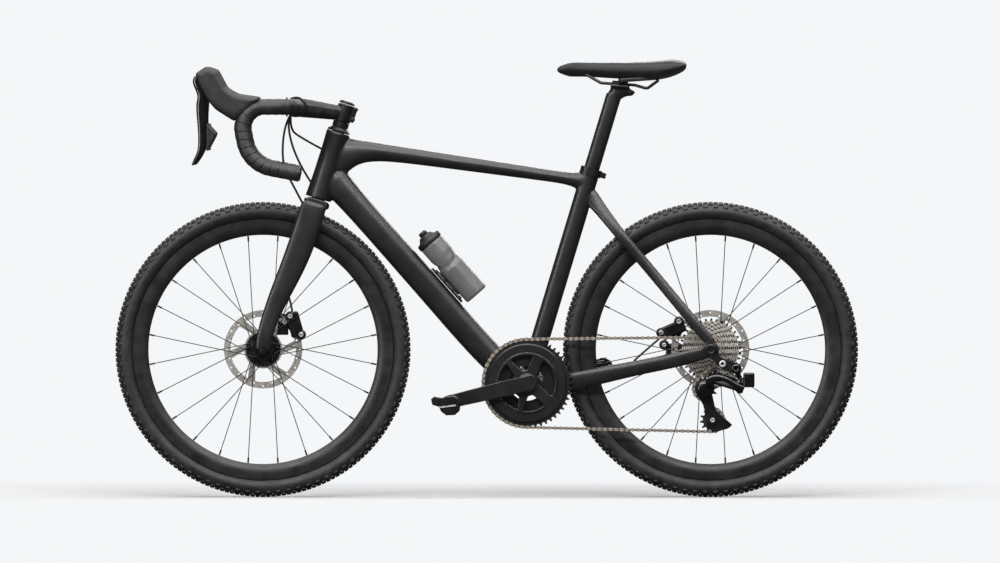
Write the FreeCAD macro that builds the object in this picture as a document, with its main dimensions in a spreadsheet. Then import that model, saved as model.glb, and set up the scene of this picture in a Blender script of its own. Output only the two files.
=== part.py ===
import FreeCAD, Part
import math
import os
import Sketcher
from FreeCAD import Placement, Rotation, Vector

# Millimetres and degrees. +X is the rear, -Y the drive side, +Z up; the origin is on the ground, midway
# between the axles.
SIZES = {
    # Layout
    "wheelbase": 1027.4,
    "bottom_bracket_drop": 77,
    "bottom_bracket_x": 92.4,
    "head_angle": 73,
    "seat_angle": 73.2,
    "head_foot_x": -387.5,
    "head_foot_z": 685,
    "head_length": 160,
    "seat_tube_length": 512,
    "stem_reach": 110.44,
    "stem_rise": 14.96,
    "post_height": 206.9,
    "clamp_setback": 6.1,
    # Wheels
    "wheel_radius": 339,
    "tyre_base": 33,
    "tyre_wall": 4.5,
    "rim_radius": 299,
    "rim_depth": 36,
    "rim_width": 30,
    "rim_bed_depth": 8,
    "rim_hook": 3.6,
    "rim_nose": 14,
    "spokes": 24,
    "spoke_radius": 1.0,
    "nipple_radius": 2.0,
    "nipple_length": 12,
    "flange_radius": 25,
    "spoke_circle": 22,
    "lacing_angle": 60,
    "axle_radius": 6,
    "bearing_radius": 13,
    "bearing_width": 8,
    "front_hub_width": 100,
    "rear_hub_width": 142,
    "running_gap": 0.06,
    "joint_gap": 0.35,
    # Brakes
    "rotor_radius": 90,
    "rotor_thickness": 1.8,
    "rotor_band": 15,
    "rotor_inset": 15,
    "carrier_radius": 40,
    "carrier_thickness": 5,
    "pad_thickness": 4,
    "pad_gap": 0.5,
    # Drive
    "chain_pitch": 12.7,
    "chain_line": 48,
    "outer_teeth": 50,
    "inner_teeth": 34,
    "driven_teeth": 14,
    "pulley_teeth": 13,
    "roller_radius": 3.85,
    "seat_clearance": 0.2,
    "ring_thickness": 1.9,
    "cog_thickness": 1.6,
    "cog_pitch": 3.58,
    "ring_spacing": 7.6,
    "crank_length": 180,
    "crank_fall": 13.4,
    "spindle_radius": 12,
    "spindle_bore": 9,
    "shell_radius": 27,
    "shell_width": 86,
    "pulley_spacing": 75,
    "link_length": 72,
    "link_spread": 20,
    "link_pin_radius": 3,
    "slant_angle": 50,
    # Seat
    "post_depth": 36,
    "post_width": 27,
    "post_wall": 2.6,
    "seat_tube_wall": 4,
    "saddle_length": 304,
    "saddle_width": 146,
    "rail_radius": 3.5,
    # Bars
    "bar_radius": 11.9,
    "clamp_radius": 15.9,
    "tape_radius": 18.3,
    "bar_half_width": 210,
    "drop_flare": 18,
    "steerer_radius": 14.3,
    "hood_width": 34,
    # Lines and bottle
    "hose_radius": 2.5,
    "hose_clearance": 0.4,
    "bottle_radius": 29,
    "bottle_length": 158,
}

doc = FreeCAD.newDocument("gravel_bike")
sheet = doc.addObject("Spreadsheet::Sheet", "Sizes")
for row, (alias, number) in enumerate(SIZES.items(), start=1):
    sheet.set(f"A{row}", alias)
    sheet.set(f"B{row}", str(number))
    sheet.setAlias(f"B{row}", alias)
doc.recompute()


class Size:
    """A sheet value together with its expression, so that sums of sizes stay bound to the cells."""

    def __init__(self, value, text):
        self.value = float(value)
        self.text = text

    def __float__(self):
        return self.value

    def __neg__(self):
        return Size(-self.value, f"(0 - {self.text})")

    def __add__(self, other):
        return Size(self.value + float(other), f"({self.text} + {text_of(other)})")

    def __radd__(self, other):
        return self + other

    def __sub__(self, other):
        return Size(self.value - float(other), f"({self.text} - {text_of(other)})")

    def __rsub__(self, other):
        return Size(float(other) - self.value, f"({text_of(other)} - {self.text})")

    def __mul__(self, other):
        return Size(self.value * float(other), f"({self.text} * {text_of(other)})")

    def __rmul__(self, other):
        return self * other

    def __truediv__(self, other):
        return Size(self.value / float(other), f"({self.text} / {text_of(other)})")


def text_of(size):
    """The expression of a size, or a plain number as text."""
    return size.text if isinstance(size, Size) else repr(size)


def size(alias):
    """The bound size behind a sheet alias."""
    return Size(sheet.get(alias), f"Sizes.{alias}")


def mm(alias):
    """The plain value behind a sheet alias."""
    return float(sheet.get(alias))


def bind(item, **sizes):
    """Set properties of an object and tie each to its cells."""
    for name, value in sizes.items():
        setattr(item, name, float(value))
        if isinstance(value, Size):
            item.setExpression(name, value.text)
    return item


# Directions and points of the layout
ACROSS = Vector(0, 1, 0)
head_angle = math.radians(mm("head_angle"))
seat_angle = math.radians(mm("seat_angle"))
STEER = Vector(math.cos(head_angle), 0, math.sin(head_angle))
STEER_FORWARD = Vector(-math.sin(head_angle), 0, math.cos(head_angle))
SEAT = Vector(math.cos(seat_angle), 0, math.sin(seat_angle))
SEAT_FORWARD = Vector(-math.sin(seat_angle), 0, math.cos(seat_angle))
AXLE_Z = mm("wheel_radius")
FRONT_AXLE = Vector(-mm("wheelbase") / 2, 0, AXLE_Z)
REAR_AXLE = Vector(mm("wheelbase") / 2, 0, AXLE_Z)
BRACKET = Vector(mm("bottom_bracket_x"), 0, AXLE_Z - mm("bottom_bracket_drop"))
HEAD_FOOT = Vector(mm("head_foot_x"), 0, mm("head_foot_z"))
CHAIN_Y = -mm("chain_line")
CRANK_ANGLE = math.radians(180 + mm("crank_fall"))
STEM_MIDDLE = HEAD_FOOT + STEER * (mm("head_length") + 45)
BAR_CENTRE = STEM_MIDDLE + Vector(-mm("stem_reach"), 0, mm("stem_rise"))
SEAT_TOP = BRACKET + SEAT * mm("seat_tube_length")
CLAMP = SEAT_TOP + SEAT * mm("post_height") - SEAT_FORWARD * mm("clamp_setback")

NODES = {}


def node(item, label):
    """Keep an object as a named sub-part."""
    item.Label = label
    NODES[label] = item
    return item


def turned_to(axis, start=Vector(0, 0, 1)):
    """The rotation that takes one direction to another."""
    return Rotation(start, axis)


def feature(name, shape):
    """An object with a shape worked out from the sheet."""
    item = doc.addObject("Part::Feature", name)
    item.Shape = shape
    return item


def rod(name, radius, length, at, axis=ACROSS):
    """A round bar that starts at a point and runs along an axis."""
    bar = doc.addObject("Part::Cylinder", name)
    bind(bar, Radius=radius, Height=length)
    bar.Placement = Placement(at, turned_to(axis))
    return bar


def block(name, length, width, height, centre, rotation=Rotation()):
    """A box about a centre."""
    box = doc.addObject("Part::Box", name)
    bind(box, Length=length, Width=width, Height=height)
    half = Vector(float(length), float(width), float(height)) * 0.5
    box.Placement = Placement(centre - rotation.multVec(half), rotation)
    return box


def joined(name, *pieces):
    """Several objects fused into one solid."""
    item = doc.addObject("Part::MultiFuse", name)
    item.Shapes = list(pieces)
    return item


def minus(name, base, *tools):
    """An object with others cut away from it."""
    for number, tool in enumerate(tools):
        last = number == len(tools) - 1
        item = doc.addObject("Part::Cut", name if last else f"{name}_cut_{number}")
        item.Base = base
        item.Tool = tool
        base = item
    return base


def group(name, *pieces):
    """Separate solids kept side by side in one sub-part."""
    item = doc.addObject("Part::Compound", name)
    item.Links = list(pieces)
    return item


def ring(name, outer, inner, width, at, axis=ACROSS):
    """A round ring along an axis."""
    direction = Vector(axis).normalize()
    body = rod(f"{name}_outside", outer, width, at, axis)
    hole = rod(f"{name}_inside", inner, width + 2, at - direction, axis)
    return minus(name, body, hole)


def outline_sketch(body, plane, corners, name):
    """A closed outline; a corner with a third entry is joined to the next by an arc through that point."""
    sketch = body.newObject("Sketcher::SketchObject", name)
    planes = [item for item in body.Origin.OriginFeatures if item.Role == plane]
    sketch.AttachmentSupport = (planes[0], [""])
    sketch.MapMode = "FlatFace"
    points = [Vector(float(corner[0]), float(corner[1]), 0) for corner in corners]
    count = len(points)
    ends = []
    for n, corner in enumerate(corners):
        start = points[n]
        stop = points[(n + 1) % count]
        if len(corner) == 3:
            through = Vector(float(corner[2][0]), float(corner[2][1]), 0)
            leftward = (through - start).cross(stop - through).z > 0
            arc = Part.Arc(start, through, stop) if leftward else Part.Arc(stop, through, start)
            sketch.addGeometry(arc, False)
            ends.append((1, 2) if leftward else (2, 1))
        else:
            sketch.addGeometry(Part.LineSegment(start, stop), False)
            ends.append((1, 2))
    holds = []
    bound = []
    places = [(n, ends[n][0], corner) for n, corner in enumerate(corners)]
    for n, corner in enumerate(corners):
        if len(corner) == 3:
            through = Vector(float(corner[2][0]), float(corner[2][1]), 0)
            spot = sketch.addGeometry(Part.Point(through), True)
            holds.append(Sketcher.Constraint("PointOnObject", spot, 1, n))
            places.append((spot, 1, corner[2]))
    for n, corner in enumerate(corners):
        after = (n + 1) % count
        holds.append(Sketcher.Constraint("Coincident", n, ends[n][1], after, ends[after][0]))
    for geometry, end, corner in places:
        for kind, place, line in (("DistanceX", corner[0], -2), ("DistanceY", corner[1], -1)):
            if abs(float(place)) < 1e-9:
                holds.append(Sketcher.Constraint("PointOnObject", geometry, end, line))
                continue
            if isinstance(place, Size):
                bound.append((len(holds), place.text))
            holds.append(Sketcher.Constraint(kind, -1, 1, geometry, end, float(place)))
    sketch.addConstraint(holds)
    for index, text in bound:
        sketch.setExpression(f"Constraints[{index}]", text)
    return sketch


def turned(name, corners, at, axis=ACROSS):
    """A body turned about an axis from an outline of (along the axis, radius) corners."""
    body = doc.addObject("PartDesign::Body", name)
    sketch = outline_sketch(body, "XZ_Plane", corners, f"{name}_outline")
    turn = body.newObject("PartDesign::Revolution", f"{name}_turn")
    turn.Profile = sketch
    turn.ReferenceAxis = (sketch, ["H_Axis"])
    turn.Angle = 360
    body.Placement = Placement(at, turned_to(axis, Vector(1, 0, 0)))
    return body


def oval_wire(centre, along, depth, width, power=2.3, deep=None):
    """A closed rounded section at right angles to a direction: |u|^p + |v|^p = 1."""
    direction = Vector(along).normalize()
    side = deep or ACROSS.cross(direction).normalize()
    across = direction.cross(side).normalize()
    points = []
    for n in range(16):
        angle = 2 * math.pi * n / 16
        u = math.copysign(abs(math.cos(angle)) ** (2 / power), math.cos(angle))
        v = math.copysign(abs(math.sin(angle)) ** (2 / power), math.sin(angle))
        points.append(centre + side * (u * depth / 2) + across * (v * width / 2))
    curve = Part.BSplineCurve()
    curve.interpolate(points, PeriodicFlag=True)
    return Part.Wire(curve.toShape())


def lofted(stations, power=2.3):
    """A solid through rounded sections, each (centre, direction, depth, width)."""
    wires = [oval_wire(*station, power=power) for station in stations]
    return Part.makeLoft(wires, True, False)


def rounded_path(points, radius=None):
    """Straight runs joined by tangent arcs of one radius, or else each as large as its runs allow."""
    edges = []
    start = points[0]
    given = radius
    for before, corner, after in zip(points, points[1:], points[2:]):
        arriving = (corner - before).normalize()
        leaving = (after - corner).normalize()
        turn = arriving.getAngle(leaving)
        if turn < 1e-6:
            continue
        shorter = min((corner - before).Length, (after - corner).Length)
        radius = given or 0.45 * shorter / math.tan(turn / 2)
        setback = radius * math.tan(turn / 2)
        first = corner - arriving * setback
        last = corner + leaving * setback
        inward = (leaving - arriving).normalize()
        middle = corner + inward * (radius / math.cos(turn / 2) - radius)
        edges.append(Part.LineSegment(start, first).toShape())
        edges.append(Part.Arc(first, middle, last).toShape())
        start = last
    edges.append(Part.LineSegment(start, points[-1]).toShape())
    return Part.Wire(edges)


def pipe(path, radius):
    """A round cord swept along a path."""
    first = path.OrderedEdges[0]
    tangent = first.tangentAt(first.FirstParameter)
    circle = Part.Circle(first.valueAt(first.FirstParameter), tangent, radius)
    return path.makePipeShell([Part.Wire(circle.toShape())], True, False)


def pitch_radius(teeth):
    """The radius of a chain wheel's pitch circle."""
    return mm("chain_pitch") / (2 * math.sin(math.pi / teeth))


def toothed_wire(teeth, tip, seat, phase):
    """A chain wheel's edge in X and Z: a roller seat arc, two flanks and a tip for each tooth."""
    pitch = pitch_radius(teeth)
    step = 2 * math.pi / teeth
    edges = []

    def at(radius, angle):
        return Vector(radius * math.cos(angle), 0, radius * math.sin(angle))

    for n in range(teeth):
        angle = phase + n * step
        low = pitch - seat
        opening = math.asin(min(seat / pitch, 1)) * 0.97
        first = at(pitch + seat * 0.1, angle - opening)
        last = at(pitch + seat * 0.1, angle + opening)
        crest = step * 0.42
        tip_first = at(tip, angle + crest)
        tip_last = at(tip, angle + step - crest)
        edges.append(Part.Arc(first, at(low, angle), last).toShape())
        edges.append(Part.LineSegment(last, tip_first).toShape())
        edges.append(Part.LineSegment(tip_first, tip_last).toShape())
        following = at(pitch + seat * 0.1, angle + step - opening)
        edges.append(Part.LineSegment(tip_last, following).toShape())
    return Part.Wire(edges)


def toothed_disc(teeth, thickness, hole, centre, phase):
    """A flat chain wheel with a round hole, centred on its plane."""
    seat = mm("roller_radius") + mm("seat_clearance")
    tip = pitch_radius(teeth) + 3.0
    edge = toothed_wire(teeth, tip, seat, phase)
    inside = Part.Wire(Part.Circle(Vector(0, 0, 0), ACROSS, hole).toShape())
    face = Part.makeFace([edge, inside], "Part::FaceMakerBullseye")
    solid = face.extrude(ACROSS * thickness)
    solid.translate(centre - ACROSS * (thickness / 2))
    return solid


# Chain loop
def tangent(first, first_radius, last, last_radius):
    """The tangent of two circles in X and Z, each on its right for a positive radius, else on its left."""
    gap = last - first
    distance = gap.Length
    heading = math.atan2(gap.z, gap.x)
    lean = math.asin((last_radius - first_radius) / distance)
    direction = heading + lean
    left = Vector(-math.sin(direction), 0, math.cos(direction))
    return first + left * first_radius, last + left * last_radius, direction


def chain_wheels(cage_angle):
    """The four wheels in the order in which the chain passes them, as (centre, signed radius, teeth)."""
    guide = REAR_AXLE + Vector(-13.7, 0, -89)
    arm = mm("pulley_spacing")
    tension = guide + Vector(arm * math.cos(cage_angle), 0, arm * math.sin(cage_angle))
    outer = round(mm("outer_teeth"))
    driven = round(mm("driven_teeth"))
    pulley = round(mm("pulley_teeth"))
    return [
        (BRACKET, pitch_radius(outer), outer),
        (REAR_AXLE, pitch_radius(driven), driven),
        (guide, -pitch_radius(pulley), pulley),
        (tension, pitch_radius(pulley), pulley),
    ]


def chain_runs(cage_angle):
    """The chain's straight runs and wraps, each with its length in links."""
    wheels = chain_wheels(cage_angle)
    runs = []
    for n, (centre, radius, teeth) in enumerate(wheels):
        after = wheels[(n + 1) % 4]
        runs.append(tangent(centre, radius, after[0], after[1]))
    pieces = []
    for n, (start, stop, direction) in enumerate(runs):
        pieces.append(("line", start, stop, (stop - start).Length / mm("chain_pitch")))
        centre, radius, teeth = wheels[(n + 1) % 4]
        change = (direction - runs[(n + 1) % 4][2]) * math.copysign(1, radius)
        wrap = change % (2 * math.pi)
        pieces.append(("wrap", centre, stop, wrap * teeth / (2 * math.pi), radius, teeth))
    return pieces


def chain_links(cage_angle):
    """The chain's length in links."""
    return sum(piece[3] for piece in chain_runs(cage_angle))


def fitted_cage_angle():
    """The cage angle at which the chain closes on a whole even number of links."""
    photo_angle = math.radians(-73)
    wanted = 2 * round(chain_links(photo_angle) / 2)
    low = photo_angle - math.radians(30)
    high = photo_angle + math.radians(30)
    rising = chain_links(high) > chain_links(low)
    for _ in range(60):
        middle = (low + high) / 2
        if (chain_links(middle) > wanted) == rising:
            high = middle
        else:
            low = middle
    return (low + high) / 2, wanted


CAGE_ANGLE, LINKS = fitted_cage_angle()
WHEELS = chain_wheels(CAGE_ANGLE)
GUIDE = WHEELS[2][0]
TENSION = WHEELS[3][0]


def pin_places():
    """The chain's pins in X and Z, and the angle of the first pin on each wheel."""
    pins = []
    phases = [None] * 4
    passed = 0.0
    for number, piece in enumerate(chain_runs(CAGE_ANGLE)):
        length = piece[3]
        first = math.ceil(passed - 1e-9)
        for index in range(first, math.ceil(passed + length - 1e-9)):
            part = index - passed
            if piece[0] == "line":
                along = (piece[2] - piece[1]).normalize()
                pins.append(piece[1] + along * (part * mm("chain_pitch")))
            else:
                centre, start, radius, teeth = piece[1], piece[2], piece[4], piece[5]
                arm = start - centre
                turn = -math.copysign(1, radius) * part * 2 * math.pi / teeth
                angle = math.atan2(arm.z, arm.x) + turn
                reach = abs(radius)
                pins.append(centre + Vector(reach * math.cos(angle), 0, reach * math.sin(angle)))
                wheel = (number // 2 + 1) % 4
                if phases[wheel] is None:
                    phases[wheel] = angle
        passed += length
    return pins[:LINKS], phases


PINS, PHASES = pin_places()


def link_plate(half_height, waist, thickness, hole):
    """A figure-of-eight plate along X about its middle, lying in X and Z."""
    half = mm("chain_pitch") / 2
    left = Vector(-half, 0, 0)
    right = Vector(half, 0, 0)
    lean = 0.86 * half_height
    shift = half_height * 0.51
    corners = [left + Vector(shift, 0, lean), right + Vector(-shift, 0, lean)]
    lower = [right + Vector(-shift, 0, -lean), left + Vector(shift, 0, -lean)]
    edges = [
        Part.Arc(corners[0], Vector(0, 0, waist), corners[1]).toShape(),
        Part.Arc(corners[1], right + Vector(half_height, 0, 0), lower[0]).toShape(),
        Part.Arc(lower[0], Vector(0, 0, -waist), lower[1]).toShape(),
        Part.Arc(lower[1], left + Vector(-half_height, 0, 0), corners[0]).toShape(),
    ]
    wires = [Part.Wire(edges)]
    if hole:
        for middle in (left, right):
            wires.append(Part.Wire(Part.Circle(middle, ACROSS, hole).toShape()))
    return Part.makeFace(wires, "Part::FaceMakerBullseye").extrude(ACROSS * thickness)


def chain():
    """Outer links with pins and inner links with rollers, one solid each, laid along the loop."""
    half = mm("chain_pitch") / 2
    roller = mm("roller_radius")
    inner_pieces = []
    for y in (-1.75, 1.1):
        plate = link_plate(4.1, 2.6, 0.65, 1.9)
        plate.translate(Vector(0, y, 0))
        inner_pieces.append(plate)
    for x in (-half, half):
        barrel = Part.makeCylinder(roller, 2.4, Vector(x, -1.2, 0), ACROSS)
        bore = Part.makeCylinder(1.9, 4, Vector(x, -2, 0), ACROSS)
        inner_pieces.append(barrel.cut(bore))
    inner = inner_pieces[0].fuse(inner_pieces[1:])
    outer_pieces = []
    for y in (-2.45, 1.8):
        plate = link_plate(4.1, 2.6, 0.65, None)
        plate.translate(Vector(0, y, 0))
        outer_pieces.append(plate)
    for x in (-half, half):
        outer_pieces.append(Part.makeCylinder(1.6, 5.1, Vector(x, -2.55, 0), ACROSS))
    outer = outer_pieces[0].fuse(outer_pieces[1:])
    links = []
    for n, start in enumerate(PINS):
        stop = PINS[(n + 1) % len(PINS)]
        along = stop - start
        link = (inner if n % 2 else outer).copy()
        centre = (start + stop) * 0.5 + Vector(0, CHAIN_Y, 0)
        turn = Rotation(ACROSS, -math.degrees(math.atan2(along.z, along.x)))
        link.Placement = Placement(centre, turn)
        links.append(link)
    return node(feature("chain", Part.makeCompound(links)), "chain")


# Wheels
def tyre(label, hub):
    """A round-section casing open at the rim, with two beads inside the hooks."""
    base = size("tyre_base") / 2
    edge = size("rim_radius")
    seat = edge - size("rim_bed_depth") + 0.3
    bead = size("rim_width") / 2 - size("rim_hook") - 0.2
    inside = bead - 3
    top = size("wheel_radius")
    corners = [
        (-base, edge + 0.05, (0, top)),
        (base, edge + 0.05),
        (bead, edge + 0.05),
        (bead, seat),
        (inside, seat),
        (inside, edge - 2),
        (base - 4, edge + 2, (0, top - size("tyre_wall"))),
        (4 - base, edge + 2),
        (-inside, edge - 2),
        (-inside, seat),
        (-bead, seat),
        (-bead, edge + 0.05),
    ]
    return node(turned(label, corners, hub), label)


def rim(label, hub, valve_angle):
    """A deep rim with hooked edges and a rounded nose, and its valve stem."""
    edge = size("rim_radius")
    half = size("rim_width") / 2
    hook = half - size("rim_hook")
    bed = edge - size("rim_bed_depth")
    low = edge - size("rim_depth")
    nose = size("rim_nose") / 2
    corners = [
        (-half, edge),
        (-half, edge - 12, (-half + 1.5, edge - 24)),
        (-nose, low),
        (nose, low, (half - 1.5, edge - 24)),
        (half, edge - 12),
        (half, edge),
        (hook, edge),
        (hook, bed),
        (-hook, bed),
        (-hook, edge),
    ]
    hoop = turned(f"{label}_hoop", corners, hub)
    return node(group(label, hoop, valve(f"{label}_valve", hub, math.radians(valve_angle))), label)


def spokes(label, hub, near_flange, far_flange):
    """Crossed spokes, alternately from the near and far flange, each ending in its nipple at the rim."""
    count = round(mm("spokes"))
    reach = mm("rim_radius") - mm("rim_depth") - 0.6
    lean = math.radians(mm("lacing_angle"))
    solids = []
    for n in range(count):
        angle = 2 * math.pi * (n + 0.5) / count
        flange = near_flange if n % 2 else far_flange
        outward = math.copysign(1, flange)
        trailing = 1 if (n // 2) % 2 else -1
        hole = angle + trailing * lean
        y = flange + trailing * outward * 3.6
        circle = mm("spoke_circle")
        start = hub + Vector(circle * math.cos(hole), y, circle * math.sin(hole))
        stop = hub + Vector(reach * math.cos(angle), outward * 2, reach * math.sin(angle))
        along = (stop - start).normalize()
        wire = Part.makeCylinder(mm("spoke_radius"), (stop - start).Length, start, along)
        foot = stop - along * mm("nipple_length")
        nipple = Part.makeCylinder(mm("nipple_radius"), mm("nipple_length"), foot, along)
        solids.append(wire.fuse(nipple))
    return node(feature(label, Part.makeCompound(solids)), label)


def hub(label, at, near_end, far_end, near_flange, far_flange, rotor_y):
    """A hub shell with two spoke flanges, a bearing pressed into each end and the rotor's carrier."""
    bearing = size("bearing_radius")
    flange = size("flange_radius")
    corners = [
        (near_end, bearing),
        (near_end, bearing + 3),
        (near_flange - 1.6, bearing + 4),
        (near_flange - 1.6, flange),
        (near_flange + 1.6, flange),
        (near_flange + 1.7, bearing + 4),
        (far_flange - 1.7, bearing + 4),
        (far_flange - 1.6, flange),
        (far_flange + 1.6, flange),
        (far_flange + 1.6, bearing + 4),
        (far_end, bearing + 3),
        (far_end, bearing),
    ]
    shell = turned(f"{label}_shell", corners, at)
    bore = size("axle_radius") + size("running_gap")
    width = size("bearing_width")
    near = ring(f"{label}_near_bearing", bearing, bore, width, at + Vector(0, float(near_end) + 1, 0))
    far_place = at + Vector(0, float(far_end) - 1 - float(width), 0)
    far = ring(f"{label}_far_bearing", bearing, bore, width, far_place)
    plate = carrier(f"{label}_rotor_carrier", at, rotor_y)
    return node(group(label, shell, near, far, plate), label)


def rotor(label, hub_place, y):
    """A braking band on six swept arms, carried by a dark centre plate."""
    outer = mm("rotor_radius")
    band = outer - mm("rotor_band")
    middle = mm("carrier_radius")
    thickness = mm("rotor_thickness")
    disc = Part.makeCylinder(outer, thickness, Vector(0, -thickness / 2, 0), ACROSS)
    cuts = [Part.makeCylinder(middle, 9, Vector(0, -4, 0), ACROSS)]
    for n in range(6):
        edges = []
        corners = []
        for radius, angle in ((middle + 4, 6), (band, 16), (band, 62), (middle + 4, 46)):
            turn = math.radians(60 * n + angle)
            corners.append(Vector(radius * math.cos(turn), -4, radius * math.sin(turn)))
        arch = math.radians(60 * n + 39)
        foot = math.radians(60 * n + 26)
        top = Vector(band * math.cos(arch), -4, band * math.sin(arch))
        low = Vector((middle + 4) * math.cos(foot), -4, (middle + 4) * math.sin(foot))
        edges.append(Part.LineSegment(corners[0], corners[1]).toShape())
        edges.append(Part.Arc(corners[1], top, corners[2]).toShape())
        edges.append(Part.LineSegment(corners[2], corners[3]).toShape())
        edges.append(Part.Arc(corners[3], low, corners[0]).toShape())
        cuts.append(Part.Face(Part.Wire(edges)).extrude(ACROSS * 9))
    for n in range(24):
        turn = math.radians(15 * n)
        radius = band + (4.5 if n % 2 else 9.5)
        hole = Vector(radius * math.cos(turn), -4, radius * math.sin(turn))
        cuts.append(Part.makeCylinder(2, 9, hole, ACROSS))
    item = feature(label, disc.cut(cuts))
    item.Placement = Placement(hub_place + Vector(0, y, 0), Rotation())
    return node(item, label)


def carrier(label, hub_place, y):
    """The dark plate between hub and rotor band."""
    width = size("carrier_thickness")
    foot = hub_place + Vector(0, y - float(width) / 2, 0)
    return ring(label, size("carrier_radius"), size("bearing_radius") + 4.2, width, foot)


def valve(name, hub_place, angle):
    """A valve stem through the rim's nose, pointing at the hub."""
    inward = Vector(-math.cos(angle), 0, -math.sin(angle))
    start = mm("rim_radius") - mm("rim_depth") - 0.1
    return rod(name, 2.6, 34, hub_place - inward * start, inward)


def front_wheel():
    """The front wheel: tyre, rim, spokes, hub and rotor."""
    half = size("front_hub_width") / 2
    tyre("front_tyre", FRONT_AXLE)
    rim("front_rim", FRONT_AXLE, 75)
    spokes("front_spokes", FRONT_AXLE, -34, 22)
    y = mm("front_hub_width") / 2 - mm("rotor_inset")
    hub("front_hub", FRONT_AXLE, 2 - half, half - 2, -34, 22, y)
    rotor("front_rotor", FRONT_AXLE, y)


def rear_wheel():
    """The rear wheel: tyre, rim, spokes, hub and rotor."""
    half = size("rear_hub_width") / 2
    tyre("rear_tyre", REAR_AXLE)
    rim("rear_rim", REAR_AXLE, 194.5)
    spokes("rear_spokes", REAR_AXLE, -10.5, 34)
    y = mm("rear_hub_width") / 2 - mm("rotor_inset")
    hub("rear_hub", REAR_AXLE, -15, half - 2, -10.5, 34, y)
    rotor("rear_rotor", REAR_AXLE, y)


def axle(label, at, width, overhang, near_end, far_end):
    """A through axle with a low round head on the drive side, and a spacer at each end of its hub."""
    radius = size("axle_radius")
    half = width / 2 + overhang
    corners = [
        (-half - 2.5, 0),
        (-half - 2.5, radius + 3),
        (-half, radius + 4),
        (-half, radius),
        (half, radius),
        (half, 0),
    ]
    shaft = turned(f"{label}_shaft", corners, at)
    gap = mm("joint_gap")
    inside = float(width) / 2
    near = ring(f"{label}_near_cap", 10, radius, inside - near_end - gap, at - ACROSS * inside)
    far = ring(f"{label}_far_cap", 10, radius, inside - far_end - gap, at + ACROSS * (far_end + gap))
    return node(group(label, shaft, near, far), label)


# Drive
COGS = (11, 12, 13, 14, 15, 17, 19, 21, 24, 27, 30, 34)


def cassette_near_face():
    """The place across the bike of the smallest cog's outer face."""
    index = COGS.index(round(mm("driven_teeth")))
    return CHAIN_Y - index * mm("cog_pitch") - mm("cog_thickness") / 2


def cassette():
    """Twelve cogs with a spacer behind each, on the freehub body."""
    index = COGS.index(round(mm("driven_teeth")))
    step = mm("cog_pitch")
    thick = mm("cog_thickness")
    solids = []
    for n, teeth in enumerate(COGS):
        y = CHAIN_Y + (n - index) * step
        phase = PHASES[1] if n == index else 0.3 * n
        cog = toothed_disc(teeth, thick, 17.2, REAR_AXLE + Vector(0, y, 0), phase)
        if n < len(COGS) - 1:
            start = REAR_AXLE + Vector(0, y + thick / 2, 0)
            spacer = Part.makeCylinder(20, step - thick, start, ACROSS)
            spacer = spacer.cut(Part.makeCylinder(17.2, step, start, ACROSS))
            cog = cog.fuse(spacer)
        solids.append(cog)
    cogs = feature("cogs", Part.makeCompound(solids))
    first = cassette_near_face()
    last = CHAIN_Y + (len(COGS) - 1 - index) * step + thick / 2
    bore = size("axle_radius") + size("running_gap")
    place = REAR_AXLE + Vector(0, first - 2, 0)
    barrel = ring("freehub_barrel", 17.1, bore, last - first + 1.5, place)
    lock = ring("cassette_lockring", 19, 17.15, 1.9, place)
    node(group("cassette", cogs, barrel, lock), "cassette")


def chainrings():
    """The outer ring with a raised face, and the smaller inner ring."""
    teeth = round(mm("outer_teeth"))
    thick = mm("ring_thickness")
    outer_place = BRACKET + Vector(0, CHAIN_Y, 0)
    outer = toothed_disc(teeth, thick, 71, outer_place, PHASES[0])
    face = Part.makeCylinder(91, 5, outer_place - ACROSS * (thick / 2 + 5), ACROSS)
    face = face.makeChamfer(3, [edge for edge in face.Edges if edge.CenterOfMass.y < outer_place.y - 5])
    face = face.cut(Part.makeCylinder(71, 9, outer_place - ACROSS * 9, ACROSS))
    outer_ring = feature("outer_chainring", outer.fuse(face))
    inner_place = BRACKET + Vector(0, CHAIN_Y + mm("ring_spacing"), 0)
    inner = toothed_disc(round(mm("inner_teeth")), thick, 40, inner_place, 0.05)
    inner_ring = feature("inner_chainring", inner)
    node(group("chainrings", outer_ring, inner_ring, *chainring_bolts()), "chainrings")


def crank_direction(angle):
    """A direction in X and Z from the bottom bracket."""
    return Vector(math.cos(angle), 0, math.sin(angle))


def crank_arm_shape(angle, inner_y, outer_y, side):
    """A tapering arm with bevelled edges, from the spindle to the pedal."""
    along = crank_direction(angle)
    across = Vector(-along.z, 0, along.x)
    length = mm("crank_length")
    wires = []
    for part, half, y, thick in ((-0.08, 17, inner_y, 18), (0.3, 18, inner_y, 16), (1.06, 15, outer_y, 13)):
        centre = BRACKET + along * (length * part) + Vector(0, y, 0)
        corners = []
        for u, v in ((-1, -0.2), (-0.55, -0.5), (0.55, -0.5), (1, -0.2), (1, 0.5), (-1, 0.5)):
            corners.append(centre + across * (u * half) + Vector(0, side * -v * thick, 0))
        wires.append(Part.makePolygon(corners + corners[:1]))
    arm = Part.makeLoft(wires, True, True)
    boss = BRACKET + along * length + Vector(0, outer_y - 6.5, 0)
    arm = arm.fuse(Part.makeCylinder(16, 13, boss, ACROSS))
    pedal_hole = Part.makeCylinder(7, 60, boss - ACROSS * 20, ACROSS)
    return arm.cut(pedal_hole)


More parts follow.
